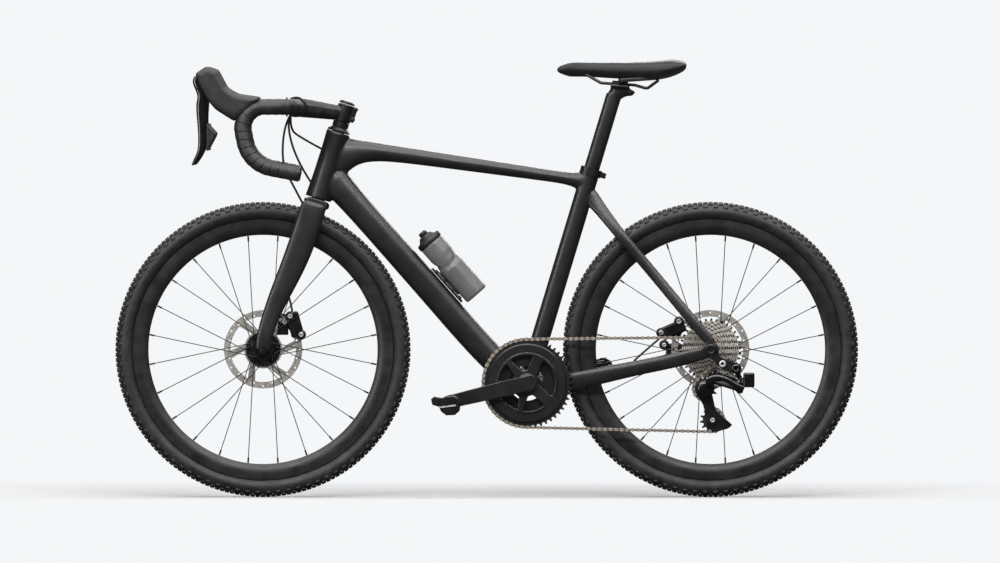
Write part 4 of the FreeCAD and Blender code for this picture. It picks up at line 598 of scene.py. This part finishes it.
def bright_steel(name, tone, roughness, dim=0.55, patch=160):
    """Plated or ground steel with brushed lines and darker oil in patches."""
    tones = [tuple(value * dim for value in tone) + (1,), tone + (1,)]
    steel = mottled(name, tones, roughness, (patch, 1800, 0.1), metallic=0.45)
    lines = add_group(steel.node_tree, BRUSHING, [("Vector", object_place(steel.node_tree))])
    return raised(steel, lines["Height"], 0.08, 0.3 * MM)


def cassette_steel():
    """Nickel-bronze sprockets with painted shade in the gaps between the rows of teeth, and a darker outer
    edge.
    """
    steel = bright_steel("cassette_steel", (0.92, 0.85, 0.77), (0.2, 0.36), dim=0.3, patch=420)
    tree = steel.node_tree
    rows = add_group(tree, TOOTH_ROW_SHADE, [("Vector", object_place(tree)), ("Centre", REAR_AXLE * MM)])
    # near-black tone laid where the mask gives painted shade between the tooth rows and the darker outer
    # edge
    return laid_over(steel, rows["Mask"], (0.022, 0.02, 0.018, 1))


def black_plastic():
    """Moulded black plastic with a fine spark texture."""
    return mottled("black_plastic", greys(0.0045, 0.009), (0.36, 0.52), (50, 1600, 0.2), scuff=0.1)


def hose_skin():
    """Slick black outer casing of hoses and wires."""
    return mottled("hose_skin", greys(0.005, 0.009), (0.28, 0.4), (80, 1500, 0.06))


def smoke_plastic():
    """Squeezable smoke-grey plastic that lets a little light through."""
    plastic = mottled("smoke_plastic", greys(0.09, 0.13, 0.02), (0.26, 0.38), (20, 500, 0.05))
    tuned(plastic, {"Subsurface Weight": 0.2, "Subsurface Radius": (0.02, 0.02, 0.02)})
    return tuned(plastic, {"Transmission Weight": 0.12})


def floor_paint():
    """Matt paint round the wheels that fades into an even glow between two reaches along X and Y."""
    paint = mottled("pale_floor", greys(0.41, 0.42), (0.75, 0.85), (3, 60, 0.0))
    tree = paint.node_tree
    parts = add(tree, "ShaderNodeSeparateXYZ", [("Vector", object_place(tree))]).outputs
    reaches = []
    for axis, near, far in (("X", 0.85, 1.35), ("Y", 0.15, 0.6)):
        reaches.append(mapped(tree, maths(tree, "ABSOLUTE", parts[axis]), near, far, smooth=True))
    away = maths(tree, "MAXIMUM", *reaches)
    laid_over(paint, away, BLACK)
    tree.links.new(mixed(tree, away, BLACK, PALE), shader_of(paint).inputs["Emission Color"])
    return tuned(paint, {"Emission Strength": 1, "Specular IOR Level": 0})


FINISHES = {
    "matt_frame": frame_paint(),
    "black_alloy": black_alloy(),
    "glossy_black": glossy_black(),
    "satin_black": satin_black(),
    "dark_rim": rim_carbon(),
    "tyre_rubber": tyre_rubber(),
    "grip_rubber": hood_rubber(),
    "bar_tape": tape_finish(),
    "saddle_cover": saddle_cover(),
    "cassette_steel": cassette_steel(),
    "chain_steel": bright_steel("chain_steel", (0.43, 0.375, 0.315), (0.24, 0.4)),
    "steel": bright_steel("rotor_steel", (0.52, 0.485, 0.45), (0.26, 0.4)),
    "grey_alloy": bright_steel("grey_alloy", (0.62, 0.61, 0.6), (0.2, 0.34)),
    "black_plastic": black_plastic(),
    "hose_skin": hose_skin(),
    "smoke_plastic": smoke_plastic(),
}

# CAD nodes that stay in view, by their finish
FINISHED_NODES = {
    "dark_rim": ("front_rim", "rear_rim"),
    "steel": ("front_rotor", "rear_rotor"),
    "chain_steel": ("chain",),
    "cassette_steel": ("cassette",),
    "satin_black": ("chainrings",),
    "black_plastic": ("guide_pulley", "tension_pulley"),
    "black_alloy": (
        "front_spokes",
        "rear_spokes",
        "front_hub",
        "rear_hub",
        "front_axle",
        "rear_axle",
        "crank_and_pedal_spindles",
        "front_near_pad",
        "front_far_pad",
        "rear_near_pad",
        "rear_far_pad",
        "frame_bearings",
        "headset_spacers_and_cap",
        "handlebar",
        "saddle_rails",
        "seatpost_collar",
        "derailleur_hanger",
    ),
}


def finish_nodes():
    """A finish for every CAD node that stays in view."""
    for finish, nodes in FINISHED_NODES.items():
        for node in nodes:
            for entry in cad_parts[node].material_slots:
                entry.material = FINISHES[finish]


# Hoses
def hose(name, route, body, replaced=()):
    """A round tube along the spline of a route, like a cord that goes back into the object."""
    radius = 2.5
    columns = 14
    curve = bpy.data.curves.new(f"{name}_line", "CURVE")
    curve.dimensions = "3D"
    curve.resolution_u = 24
    spline = curve.splines.new("NURBS")
    spline.points.add(len(route) - 1)
    for point, place in zip(spline.points, route):
        point.co = (*(place * MM), 1)
    spline.order_u = 3
    spline.use_endpoint_u = True
    guide = bpy.data.objects.new(f"{name}_line", curve)
    points = mesh_points(bpy.data.meshes.new_from_object(guide)) / MM
    bpy.data.objects.remove(guide)
    surface = swept_points(points, np.full((len(points), columns), radius))
    piece = new_piece(name, surface, capped_faces(len(points), columns), None, "hose_skin")
    if isinstance(body, str):
        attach(piece, body)
    else:
        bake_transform(piece)
    if replaced:
        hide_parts(*replaced)


def tape_exit(across, out=0.0):
    """A point below the bar where a line comes out of the tape."""
    tape_radius = 18.8
    outward = np.array((-0.55, 0, -0.835))
    return BAR_CENTRE + (0, across, 0) + outward * (tape_radius + out)


def hoses():
    """Two lines into the head tube, the front hose to the fork and its caliper, and the rear hose's end."""
    brake = [tape_exit(-68, 1.2), BAR_CENTRE + (-14, -64, -50)]
    brake += [HEAD_FOOT + (-40.5, -36, 141), HEAD_FOOT + (15.5, -12, 111)]
    shift = [tape_exit(-50), tape_exit(-50, 22)]
    shift += [HEAD_FOOT + (-48.5, -38, 85), HEAD_FOOT + (-8.5, -14, 27)]
    front = [tape_exit(-84), tape_exit(-84, 30)]
    front += [HEAD_FOOT + (-82.5, -70, 79), HEAD_FOOT + (-57.5, -46, 33), HEAD_FOOT + (-32.5, -40, -15)]
    lower = [FRONT_AXLE + place for place in ((47.7, 44.5, 145), (61.7, 44, 123), (67.7, 40, 81))]
    rear = [REAR_AXLE + place for place in ((-175.7, 56, -27), (-147.7, 58, -1), (-101.7, 56, 37))]
    hose("rear_brake_line", brake, ("steering", "frame"), ["frame_hoses"])
    hose("shift_line", shift, ("steering", "frame"))
    hose("front_brake_line", front, "steering", ["front_brake_hose"])
    hose("front_brake_line_end", lower, "steering")
    hose("rear_brake_line_end", rear, "frame")


# Camera, floor and light
def camera():
    """A very long lens square to the bike, a little above its middle."""
    distance = 58.0
    picture_width = 2.296
    aim = (0.0304, 0.4951)
    rise = math.radians(0.45)
    item = placed("camera", bpy.data.cameras.new("camera"))
    item.data.sensor_width = 36
    item.data.lens = 36 * distance / picture_width
    item.data.clip_end = 300
    item.location = (aim[0], -distance * math.cos(rise), aim[1] + distance * math.sin(rise))
    item.rotation_euler = (math.pi / 2 - rise, 0, 0)
    bpy.context.scene.camera = item


def backdrop():
    """A pale floor that rises a little behind the wheels."""
    far = 40.0
    depth = np.concatenate(([-far, -1.0], np.linspace(0, 2, 60), [far]))[:, None]
    height = 0.03 * (1 - np.exp(-((np.maximum(depth, 0) / 0.35) ** 2)))
    points = as_points(np.array((-far, far)), depth, height)
    mesh = bpy.data.meshes.new("floor")
    mesh.from_pydata(points.reshape(-1, 3).tolist(), [], grid_faces(len(depth), 2)[:, ::-1].tolist())
    mesh.shade_smooth()
    mesh.materials.append(floor_paint())
    floor = placed("floor", mesh)
    floor.visible_glossy = False


def lights():
    """A broad softbox overhead, and strips in front, to the left and behind."""
    softboxes = (
        ("overhead", (0.0, -1.0, 3.4), (0, 0, 0), 6.5, 5.0, 380),
        ("strip", (-0.3, -3.2, 2.5), (56, 0, 0), 4.5, 0.22, 95),
        ("side", (-3.6, -3.0, 1.0), (90, 0, -50), 0.4, 2.4, 60),
        ("back", (0.5, 3.4, 2.2), (-58, 0, 0), 4.0, 0.6, 60),
    )
    for name, place, turn, wide, deep, power in softboxes:
        lamp = bpy.data.lights.new(name, "AREA")
        lamp.shape = "RECTANGLE"
        lamp.size = wide
        lamp.size_y = deep
        lamp.energy = power
        item = placed(name, lamp)
        item.location = place
        item.rotation_euler = [math.radians(angle) for angle in turn]
        item.visible_camera = False


def surroundings():
    """A dim surrounding, dimmer still in reflections, that the camera sees as pale."""
    world = bpy.data.worlds.new("studio")
    world.use_nodes = True
    tree = world.node_tree
    ray = tree.nodes.new("ShaderNodeLightPath").outputs
    dim = mixed(tree, ray["Is Glossy Ray"], (0.086, 0.088, 0.09, 1), (0.035, 0.036, 0.037, 1))
    tone = mixed(tree, ray["Is Camera Ray"], dim, PALE)
    tree.links.new(tone, tree.nodes["Background"].inputs["Color"])
    bpy.context.scene.world = world
    bpy.context.scene.view_settings.view_transform = "Standard"


# Moulded and cast parts
def painted_parts():
    """Rounded skins over frame, fork and seatpost, filled at the down tube's nose and the post's lip."""
    paint = "matt_frame"
    tubes = ["head_tube", "top_tube", "down_tube", "seat_tube", "chainstays", "seatstays"]
    nose = egg(HEAD_FOOT + (35.5, 0, 43.5), ((25.8, 0, 23.7), (0, 22.8, 0), (-14.9, 0, 16.2)))
    lip = egg(np.array((328.5, 0, 928.5)), ((10.5, 0, 0), (0, 16, 0), (0, 0, 8.0)))
    softened("frame_shell", tubes, "frame", paint, 2.6, 40, 0.515, nose)
    softened("fork_shell", ["fork"], "steering", paint, 2.0, 8)
    softened("seatpost_shell", ["seatpost"], "seat", paint, 1.6, 40, 0.3, lip)


def castings():
    """Rounded skins over the cast or forged parts, each with its own voxel size and smoothing."""
    for name, node, body, finish, voxel, rounds, push in (
        ("drive_crank", "drive_crank_arm", "cranks", "satin_black", 1.0, 8, 0.4),
        ("far_crank", "far_crank_arm", "cranks", "glossy_black", 1.2, 4, KEEP_SIZE),
        ("stem_casting", "stem", "steering", "black_alloy", 1.0, 4, KEEP_SIZE),
        ("front_caliper_casting", "front_caliper", "steering", "black_alloy", 0.8, 4, KEEP_SIZE),
        ("rear_caliper_casting", "rear_caliper", "frame", "black_alloy", 0.8, 4, KEEP_SIZE),
        ("near_pedal_casting", "near_pedal", "near_pedal_body", "black_alloy", 1.0, 4, KEEP_SIZE),
        ("far_pedal_casting", "far_pedal", "far_pedal_body", "black_alloy", 1.0, 4, KEEP_SIZE),
        ("derailleur_motor_case", "derailleur_body", "frame", "glossy_black", 0.7, 40, 0.2),
        ("outer_link_casting", "derailleur_outer_link", "outer_link", "glossy_black", 0.5, 4, KEEP_SIZE),
        ("inner_link_casting", "derailleur_inner_link", "inner_link", "black_alloy", 0.5, 4, KEEP_SIZE),
        ("knuckle_casting", "derailleur_knuckle", "lower_knuckle", "glossy_black", 0.7, 4, KEEP_SIZE),
        ("cage_plates", "derailleur_cage", "cage", "black_alloy", 0.8, 6, 0.4),
    ):
        softened(name, [node], body, finish, voxel, rounds, push)


def levers():
    """Brake blades, shift paddles and the rubber hoods round their bodies."""
    plastic = "black_plastic"
    rubber = "grip_rubber"
    middles = (-LEVER_ACROSS, LEVER_ACROSS)
    for side, middle in zip(("near", "far"), middles):
        lever_blade(side, middle)
        nodes = [f"{side}_shift_paddle"]
        paddle = softened(f"{side}_paddle_blade", nodes, f"{side}_paddle", plastic, 0.5, 4)
        swollen(paddle, (middle,), inner=0.5, reach=4)
    hoods = softened("hood_rubbers", ["lever_hoods"], "steering", rubber, 1.5, 45, 0.1)
    swollen(hoods, middles, inner=8.5, reach=15)


def lever_blade(side, middle):
    """A slender brake blade: ellipses between a front and a rear edge line, thinner towards the tip."""
    height = np.array((968, 956, 938, 921, 904, 880, 860, 832, 807, 790, 776, 762.0))
    front = np.array((-668, -675, -668, -660, -665, -664, -662, -660, -660, -663, -671, -676.0))
    rear = np.array((-658, -648, -642, -641, -639, -641, -641, -641, -643, -650, -658, -669.0))
    rows = 120
    columns = 36
    share = np.linspace(0, 1, rows)
    knots = (height[0] - height) / (height[0] - height[-1])
    lines = evened(read_between(knots, np.stack((front, rear), axis=1), share), 30)
    half = (lines[:, 1] - lines[:, 0]) / 2
    round_ends = np.sqrt(1 - (np.maximum(0, np.abs(2 * share - 1) - 0.97) / 0.031) ** 2)
    depth = np.interp(share, (0, 0.1, 0.6, 1), (5, 6.5, 5.5, 3.5)) * round_ends
    angles = round_angles(columns)
    x = lines.mean(axis=1)[:, None] + (half * round_ends)[:, None] * np.cos(angles)
    y = middle - depth[:, None] * np.sin(angles)
    z = (height[0] + (height[-1] - height[0]) * share)[:, None]
    points = as_points(x, y, z)
    faces = capped_faces(rows, columns)
    piece = new_piece(f"{side}_lever_blade", points, faces, f"{side}_lever", "glossy_black")
    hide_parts(f"{side}_brake_lever")


# Bolts and trim
CALIPER_ENDS = (
    ("front_caliper_upper", FRONT_AXLE + (62, 22.8, 76), 6, "steering"),
    ("front_caliper_lower", FRONT_AXLE + (87, 22.8, 34), 6, "steering"),
    ("rear_caliper_upper", REAR_AXLE + (-72, 43.8, 64), 6, "frame"),
    ("rear_caliper_middle", REAR_AXLE + (-113, 43.8, 38), 6, "frame"),
    ("rear_caliper_lower", REAR_AXLE + (-106, 43.8, 10), 5, "frame"),
)


def bolt_head(name, place, radius, tall, body, finish):
    """A domed socket head to the drive side; its recess is a hexagon, r cos 30 / cos(a mod 60 - 30)."""
    angles = round_angles(ROUND_COLUMNS)
    hexagon = math.cos(math.pi / 6) / np.cos(angles % (math.pi / 3) - math.pi / 6)
    full = np.ones(ROUND_COLUMNS)
    radii = np.array((full, full, 0.9 * full, 0.62 * full, 0.46 * hexagon, 0.46 * hexagon)) * radius
    along = np.array((0, 0.7, 0.92, 1.0, 0.96, 0.3)) * tall
    turned(name, along, radii, place, NEARWARD, body, finish)


def bolts():
    """Heads that show on the drive side: rear axle, derailleur, lower pulley, lever and calipers."""
    for name, place, radius, tall, body, finish in (
        ("rear_axle_cap", REAR_AXLE + (0, -79.4, 0), 13.5, 4.5, "frame", "black_alloy"),
        ("hanger_bolt_head", REAR_AXLE + (27, -86.3, -32), 8, 5, "frame", "grey_alloy"),
        ("derailleur_bolt_head", REAR_AXLE + (58.3, -86.3, -43), 10.5, 7, "frame", "glossy_black"),
        ("pulley_bolt_head", np.array((518.0, -56.9, 177.3)), 5.5, 3, "cage", "grey_alloy"),
        ("lever_pivot_bolt", np.array((-633.0, -224.0, 915.0)), 3.5, 3, "steering", "black_alloy"),
    ):
        bolt_head(name, place, radius, tall, body, finish)
    for name, place, radius, body in CALIPER_ENDS:
        bolt_head(f"{name}_bolt", place, radius, radius - 1, body, "grey_alloy")


def caliper_lobes():
    """Round bosses at the ends of each caliper, under its bolts."""
    along = (0, 24, 26, 27)
    radii = (11.5, 11.5, 10.5, 8)
    for name, place, _, body in CALIPER_ENDS:
        foot = place + (0, 27.2, 0)
        turned(f"{name}_lobe", along, radii, foot, NEARWARD, body, "black_alloy")


def pedal_trim():
    """A bright edge plate on the outer face of the near pedal."""
    axes = ((0.993, 0, 0.12), (0, 1, 0), (-0.12, 0, 0.993))
    place = np.array((-90.0, -142.6, 210.0))
    rounded_block("near_pedal_plate", place, axes, (20, 1.2, 1.8), "near_pedal_body", "grey_alloy")


def solid_numbers(edges, count):
    """The lowest point number in each point's solid, handed on along the edges until nothing changes."""
    lowest = np.arange(count)
    while True:
        before = lowest.copy()
        lower = np.minimum(lowest[edges[:, 0]], lowest[edges[:, 1]])
        np.minimum.at(lowest, edges[:, 0], lower)
        np.minimum.at(lowest, edges[:, 1], lower)
        lowest = lowest[lowest]
        if np.array_equal(before, lowest):
            return lowest


def chain_shade_studs():
    """Painted shade at the links' waists: a small dark stud on the near face of each solid, at its middle.
    """
    columns = 14
    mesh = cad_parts["chain"].data
    places, index = np.unique(np.round(mesh_points(mesh) / MM, 3), axis=0, return_inverse=True)
    solids = solid_numbers(index.ravel()[mesh_edges(mesh)], len(places))
    angles = round_angles(columns)
    points = []
    faces = []
    for number in np.unique(solids):
        mine = places[solids == number]
        x, y, z = (mine.min(axis=0) + mine.max(axis=0)) / 2
        near = mine[:, 1].min()
        faces += capped_faces(2, columns, columns * len(points))
        for radius, face in ((1.9, near + 0.3), (1.7, near - 0.25)):
            points.append(as_points(x + radius * np.cos(angles), face, z + radius * np.sin(angles)))
    # dark studs stand in for the shade in the gap at each link's waist
    new_piece("chain_link_shade_studs", np.vstack(points), faces, "frame", "black_alloy")


# Bottle
def bottle():
    """A smoke flask with a slanting grip groove, under its cap and on its mount."""
    columns = 96
    smoke = "smoke_plastic"
    angles = round_angles(columns)
    along = np.concatenate(([0, 1.5, 4], np.linspace(6, 150, 90), [155, 158]))
    knots = (0, 1.5, 4, 6, 84, 97, 113, 124, 155, 158)
    outline = np.interp(along, knots, (24, 27, 28.7, 29, 29, 27.6, 27.6, 29, 29, 28.5))[:, None]
    groove_middle = 108 + 15 * np.cos(angles)
    groove = 2.2 * np.exp(-(((along[:, None] - groove_middle) / 6) ** 2))
    radii = outline - groove
    flask = turned("bottle_flask", along, radii, BOTTLE_FOOT, TUBE_UP, "bottle_body", smoke)
    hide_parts("bottle")
    bottle_top(angles)
    bottle_mount()


def bottle_top(angles):
    """A ribbed two-step cap and its spout."""
    plastic = "black_plastic"
    foot = BOTTLE_FOOT + TUBE_UP * 158.1
    along = (0, 1, 11, 13, 15, 19, 22, 24.5)
    radius = np.array((29.2, 30, 30, 28.5, 22, 18, 16, 12))[:, None]
    ribs = np.array((0, 1, 1, 0, 0, 0, 0, 0))[:, None] * 0.5 * np.cos(48 * angles)
    turned("bottle_cap", along, radius + ribs, foot, TUBE_UP, "bottle_body", plastic)
    along = (8.3, 16, 24, 25.5, 31, 32.5, 34.2)
    radius = np.array((7, 7, 7, 10, 9.6, 9.2, 6))[:, None]
    ribs = np.array((0, 0, 0, 1, 1, 0, 0))[:, None] * 0.4 * np.cos(24 * angles)
    spout = turned("spout_top", along, radius + ribs, foot, TUBE_UP, "spout", plastic)
    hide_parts("bottle_spout")


def bottle_mount():
    """The flask's catch rail, and the base on the down tube with its rungs."""
    plastic = "black_plastic"
    axes = (TUBE_UP, (0, 1, 0), TUBE_OUT)
    middle = BOTTLE_FOOT + TUBE_UP * 62
    place = middle - TUBE_OUT * 29
    rail = rounded_block("bottle_catch_rail", place, axes, (34, 11, 4.4), "bottle_body", plastic)
    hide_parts("bottle")
    place = middle - TUBE_OUT * 36.7
    mount = rounded_block("bottle_base", place, axes, (52, 13, 3), "frame", plastic)
    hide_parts("bottle_mount")
    for number, along in enumerate((-40, -16, 12, 38)):
        place = middle + TUBE_UP * along - TUBE_OUT * 35
        rounded_block(f"bottle_rung_{number}", place, axes, (5, 15, 4.5), "frame", plastic)


# Derailleur covers
def derailleur_covers():
    """The arched outer cover of the parallelogram, and the domed cap of the lower knuckle."""
    rows = 60
    columns = 28
    upper = ((500, 268), (511, 280), (526, 283), (541, 280.5), (556, 273.5), (573, 263), (592, 255))
    lower = ((505, 254), (515, 261), (529, 267), (543, 267.5), (556, 260.5), (570, 249), (588, 245))
    share = np.linspace(0, 1, rows)
    knots = np.linspace(0, 1, len(upper))
    top = evened(read_between(knots, upper, share), 12)
    bottom = evened(read_between(knots, lower, share), 12)
    middle = (top + bottom) / 2
    half = (top - bottom) / 2
    angles = round_angles(columns)
    near_face = -95 - 3.5 * np.sin(np.pi * share)[:, None]
    x = middle[:, :1] + half[:, :1] * np.cos(angles)
    y = near_face - 3.2 * np.sin(angles)
    z = middle[:, 1:] + half[:, 1:] * np.cos(angles)
    faces = capped_faces(rows, columns)
    new_piece("outer_link_cover", as_points(x, y, z), faces, "outer_link", "glossy_black")
    along = (0, 6, 9.5, 11.5, 12.5)
    radii = (19, 19, 17, 12, 5)
    place = np.array((500.0, -70.0, 250.0))
    turned("knuckle_cap", along, radii, place, NEARWARD, "lower_knuckle", "glossy_black")


# Tyres
def about_hub(hub, radius, across, angle):
    """Points turned about a wheel's axle."""
    return as_points(hub[0] + radius * np.cos(angle), across, hub[2] + radius * np.sin(angle))


def tyre(name, hub, body, node):
    """A casing turned from a rounded section, an outer and an inner arc of ellipses, with rows of knobs."""
    columns = 300
    across = []
    radius = []
    for start, end, count, ring, wide, tall in (
        (-62, 242, 45, TYRE_RING, TYRE_HALF_WIDE, TYRE_HALF_TALL),
        (242, -62, 23, 314, 19.4, 16.5),
    ):
        angle = np.radians(np.linspace(start, end, count))[:, None]
        across.append(wide * np.cos(angle))
        radius.append(ring + tall * np.sin(angle))
    points = about_hub(hub, np.vstack(radius), np.vstack(across), round_angles(columns))
    casing_faces = grid_faces(len(points), columns, closed_rows=True, closed_columns=True)
    points = points.reshape(-1, 3)
    knob_points, knob_faces = tyre_knobs(hub)
    faces = np.vstack((casing_faces, knob_faces + len(points)))
    piece = new_piece(name, np.vstack((points, knob_points)), faces, body, "tyre_rubber")
    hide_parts(node)


def tyre_knobs(hub):
    """Knobs as rounded frusta in rows round the casing: rings of eight points shrunk and raised in turn."""
    pitches = 88
    bend_radius = 330
    corner = np.array((1, 0.72, -0.72, -1, -1, -0.72, 0.72, 1))
    other = np.array((0.72, 1, 1, 0.72, -0.72, -1, -1, -0.72))
    rings = ((1.12, -0.8), (1.0, 0.55), (0.86, 0.94), (0.45, 1.0))
    shape = np.vstack([as_points(corner * grow, other * grow, lift) for grow, lift in rings])
    rows = []
    for lean, long, wide, tall, shift in (
        (10, 5.0, 3.2, 3.3, 0.0),
        (-10, 5.0, 3.2, 3.3, 0.5),
        (31, 4.4, 3.2, 3.2, 0.5),
        (-31, 4.4, 3.2, 3.2, 0.0),
        (54, 5.4, 3.3, 2.8, 0.0),
        (-54, 5.4, 3.3, 2.8, 0.5),
    ):
        sine = math.sin(math.radians(lean))
        cosine = math.cos(math.radians(lean))
        round_wheel, sideways, out = (shape * (long, wide, tall)).T
        across = TYRE_HALF_WIDE * sine + sine * out + cosine * sideways
        radius = TYRE_RING + TYRE_HALF_TALL * cosine + cosine * out - sine * sideways
        angle = (np.arange(pitches) + shift)[:, None] * 2 * np.pi / pitches + round_wheel / bend_radius
        rows.append(about_hub(hub, radius, across, angle).reshape(-1, 3))
    points = np.vstack(rows)
    top = len(shape) - 8
    caps = top + np.array(((0, 1, 2, 3), (0, 3, 4, 7), (4, 5, 6, 7)))
    one = np.vstack((grid_faces(len(rings), 8, closed_columns=True), caps))
    many = np.arange(len(points) // len(shape))[:, None, None] * len(shape)
    return points, (one[None] + many).reshape(-1, 4)[:, ::-1]


# Bar tape
def bar_tape():
    """Tape wound along both halves of the bar: its radius grows by an overlap along each turn."""
    pitch = 19
    radius = 17.5
    overlap = 0.95
    columns = 48
    points = []
    faces = []
    overlap_shades = []
    for side in (-1, 1):
        corners = [
            BAR_CENTRE + (0, side * 50, 0),
            BAR_CENTRE + (0, side * 210, 0),
            BAR_CENTRE + (-133, side * 212, 0),
            BAR_CENTRE + (-105.5, side * 220.8, -131),
            BAR_CENTRE + (6, side * 228, -152.5),
        ]
        route = rounded_route(corners, 1.0)
        along = np.arange(len(route), dtype=float)[:, None]
        turn = np.linspace(0, 1, columns, endpoint=False)[None]
        phase = (along / pitch - turn * side) % 1
        rise = np.clip(phase / 0.86, 0, 1) ** 0.7 * np.clip((1 - phase) / 0.05, 0, 1)
        # mask of painted shade along each turn's overlapping step
        overlap_shades.append(np.exp(-(np.minimum(phase, 1 - phase) / 0.035) ** 2).ravel())
        faces += capped_faces(len(route), columns, sum(len(block) for block in points))
        points.append(swept_points(route, radius + overlap * rise).reshape(-1, 3))
    piece = new_piece("wound_bar_tape", np.vstack(points), faces, "steering", "bar_tape")
    attribute = piece.data.attributes.new("overlap_shade", "FLOAT", "POINT")
    attribute.data.foreach_set("value", np.concatenate(overlap_shades).astype(np.float32))
    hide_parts("bar_tape")


# Saddle
def saddle():
    """The saddle's pad over its shell, swollen by cloth pressure from a slightly smaller skin."""
    cover = "saddle_cover"
    piece = softened("padded_saddle", ["saddle_pad"], "seat", cover, 4.5, 6)
    shrunk = mesh_points(piece.data) - mesh_points(piece.data, "normal") * 1.8 * MM
    move_points(piece.data, shrunk)
    swell(piece, shrunk, 3.5 * MM)
    tilt = math.radians(4)
    axes = ((math.cos(tilt), 0, math.sin(tilt)), (0, 1, 0), (-math.sin(tilt), 0, math.cos(tilt)))
    shell = np.array((351.0, 0, 960.0))
    rounded_block("saddle_shell", shell, axes, (49, 42, 5), "seat", "black_plastic")
    divide = piece.modifiers.new("smooth", "SUBSURF")
    divide.levels = 1
    divide.render_levels = 1


def swell(piece, start, reach):
    """Cloth pressure for some frames, each point kept within a reach of its start, then folds settled."""
    frames = 20
    scene = bpy.context.scene
    cloth = piece.modifiers.new("swell", "CLOTH")
    cloth.settings.use_pressure = True
    cloth.settings.uniform_pressure_force = 4
    cloth.settings.effector_weights.gravity = 0
    for number in range(1, frames + 1):
        scene.frame_set(number)
    depsgraph = bpy.context.evaluated_depsgraph_get()
    step = mesh_points(piece.evaluated_get(depsgraph).data) - start
    long = np.linalg.norm(step, axis=1, keepdims=True)
    step *= np.minimum(1, reach / np.maximum(long, 1e-9))
    piece.modifiers.remove(cloth)
    scene.frame_set(1)
    move_points(piece.data, relaxed(start + step, mesh_edges(piece.data), 20, 0.49))


camera()
hoses()
backdrop()
lights()
surroundings()
finish_nodes()
painted_parts()
castings()
levers()
tyre("front_tyre_casing", FRONT_AXLE, "front_wheel", "front_tyre")
tyre("rear_tyre_casing", REAR_AXLE, "rear_wheel", "rear_tyre")
bar_tape()
saddle()
bolts()
pedal_trim()
caliper_lobes()
chain_shade_studs()
bottle()
derailleur_covers()
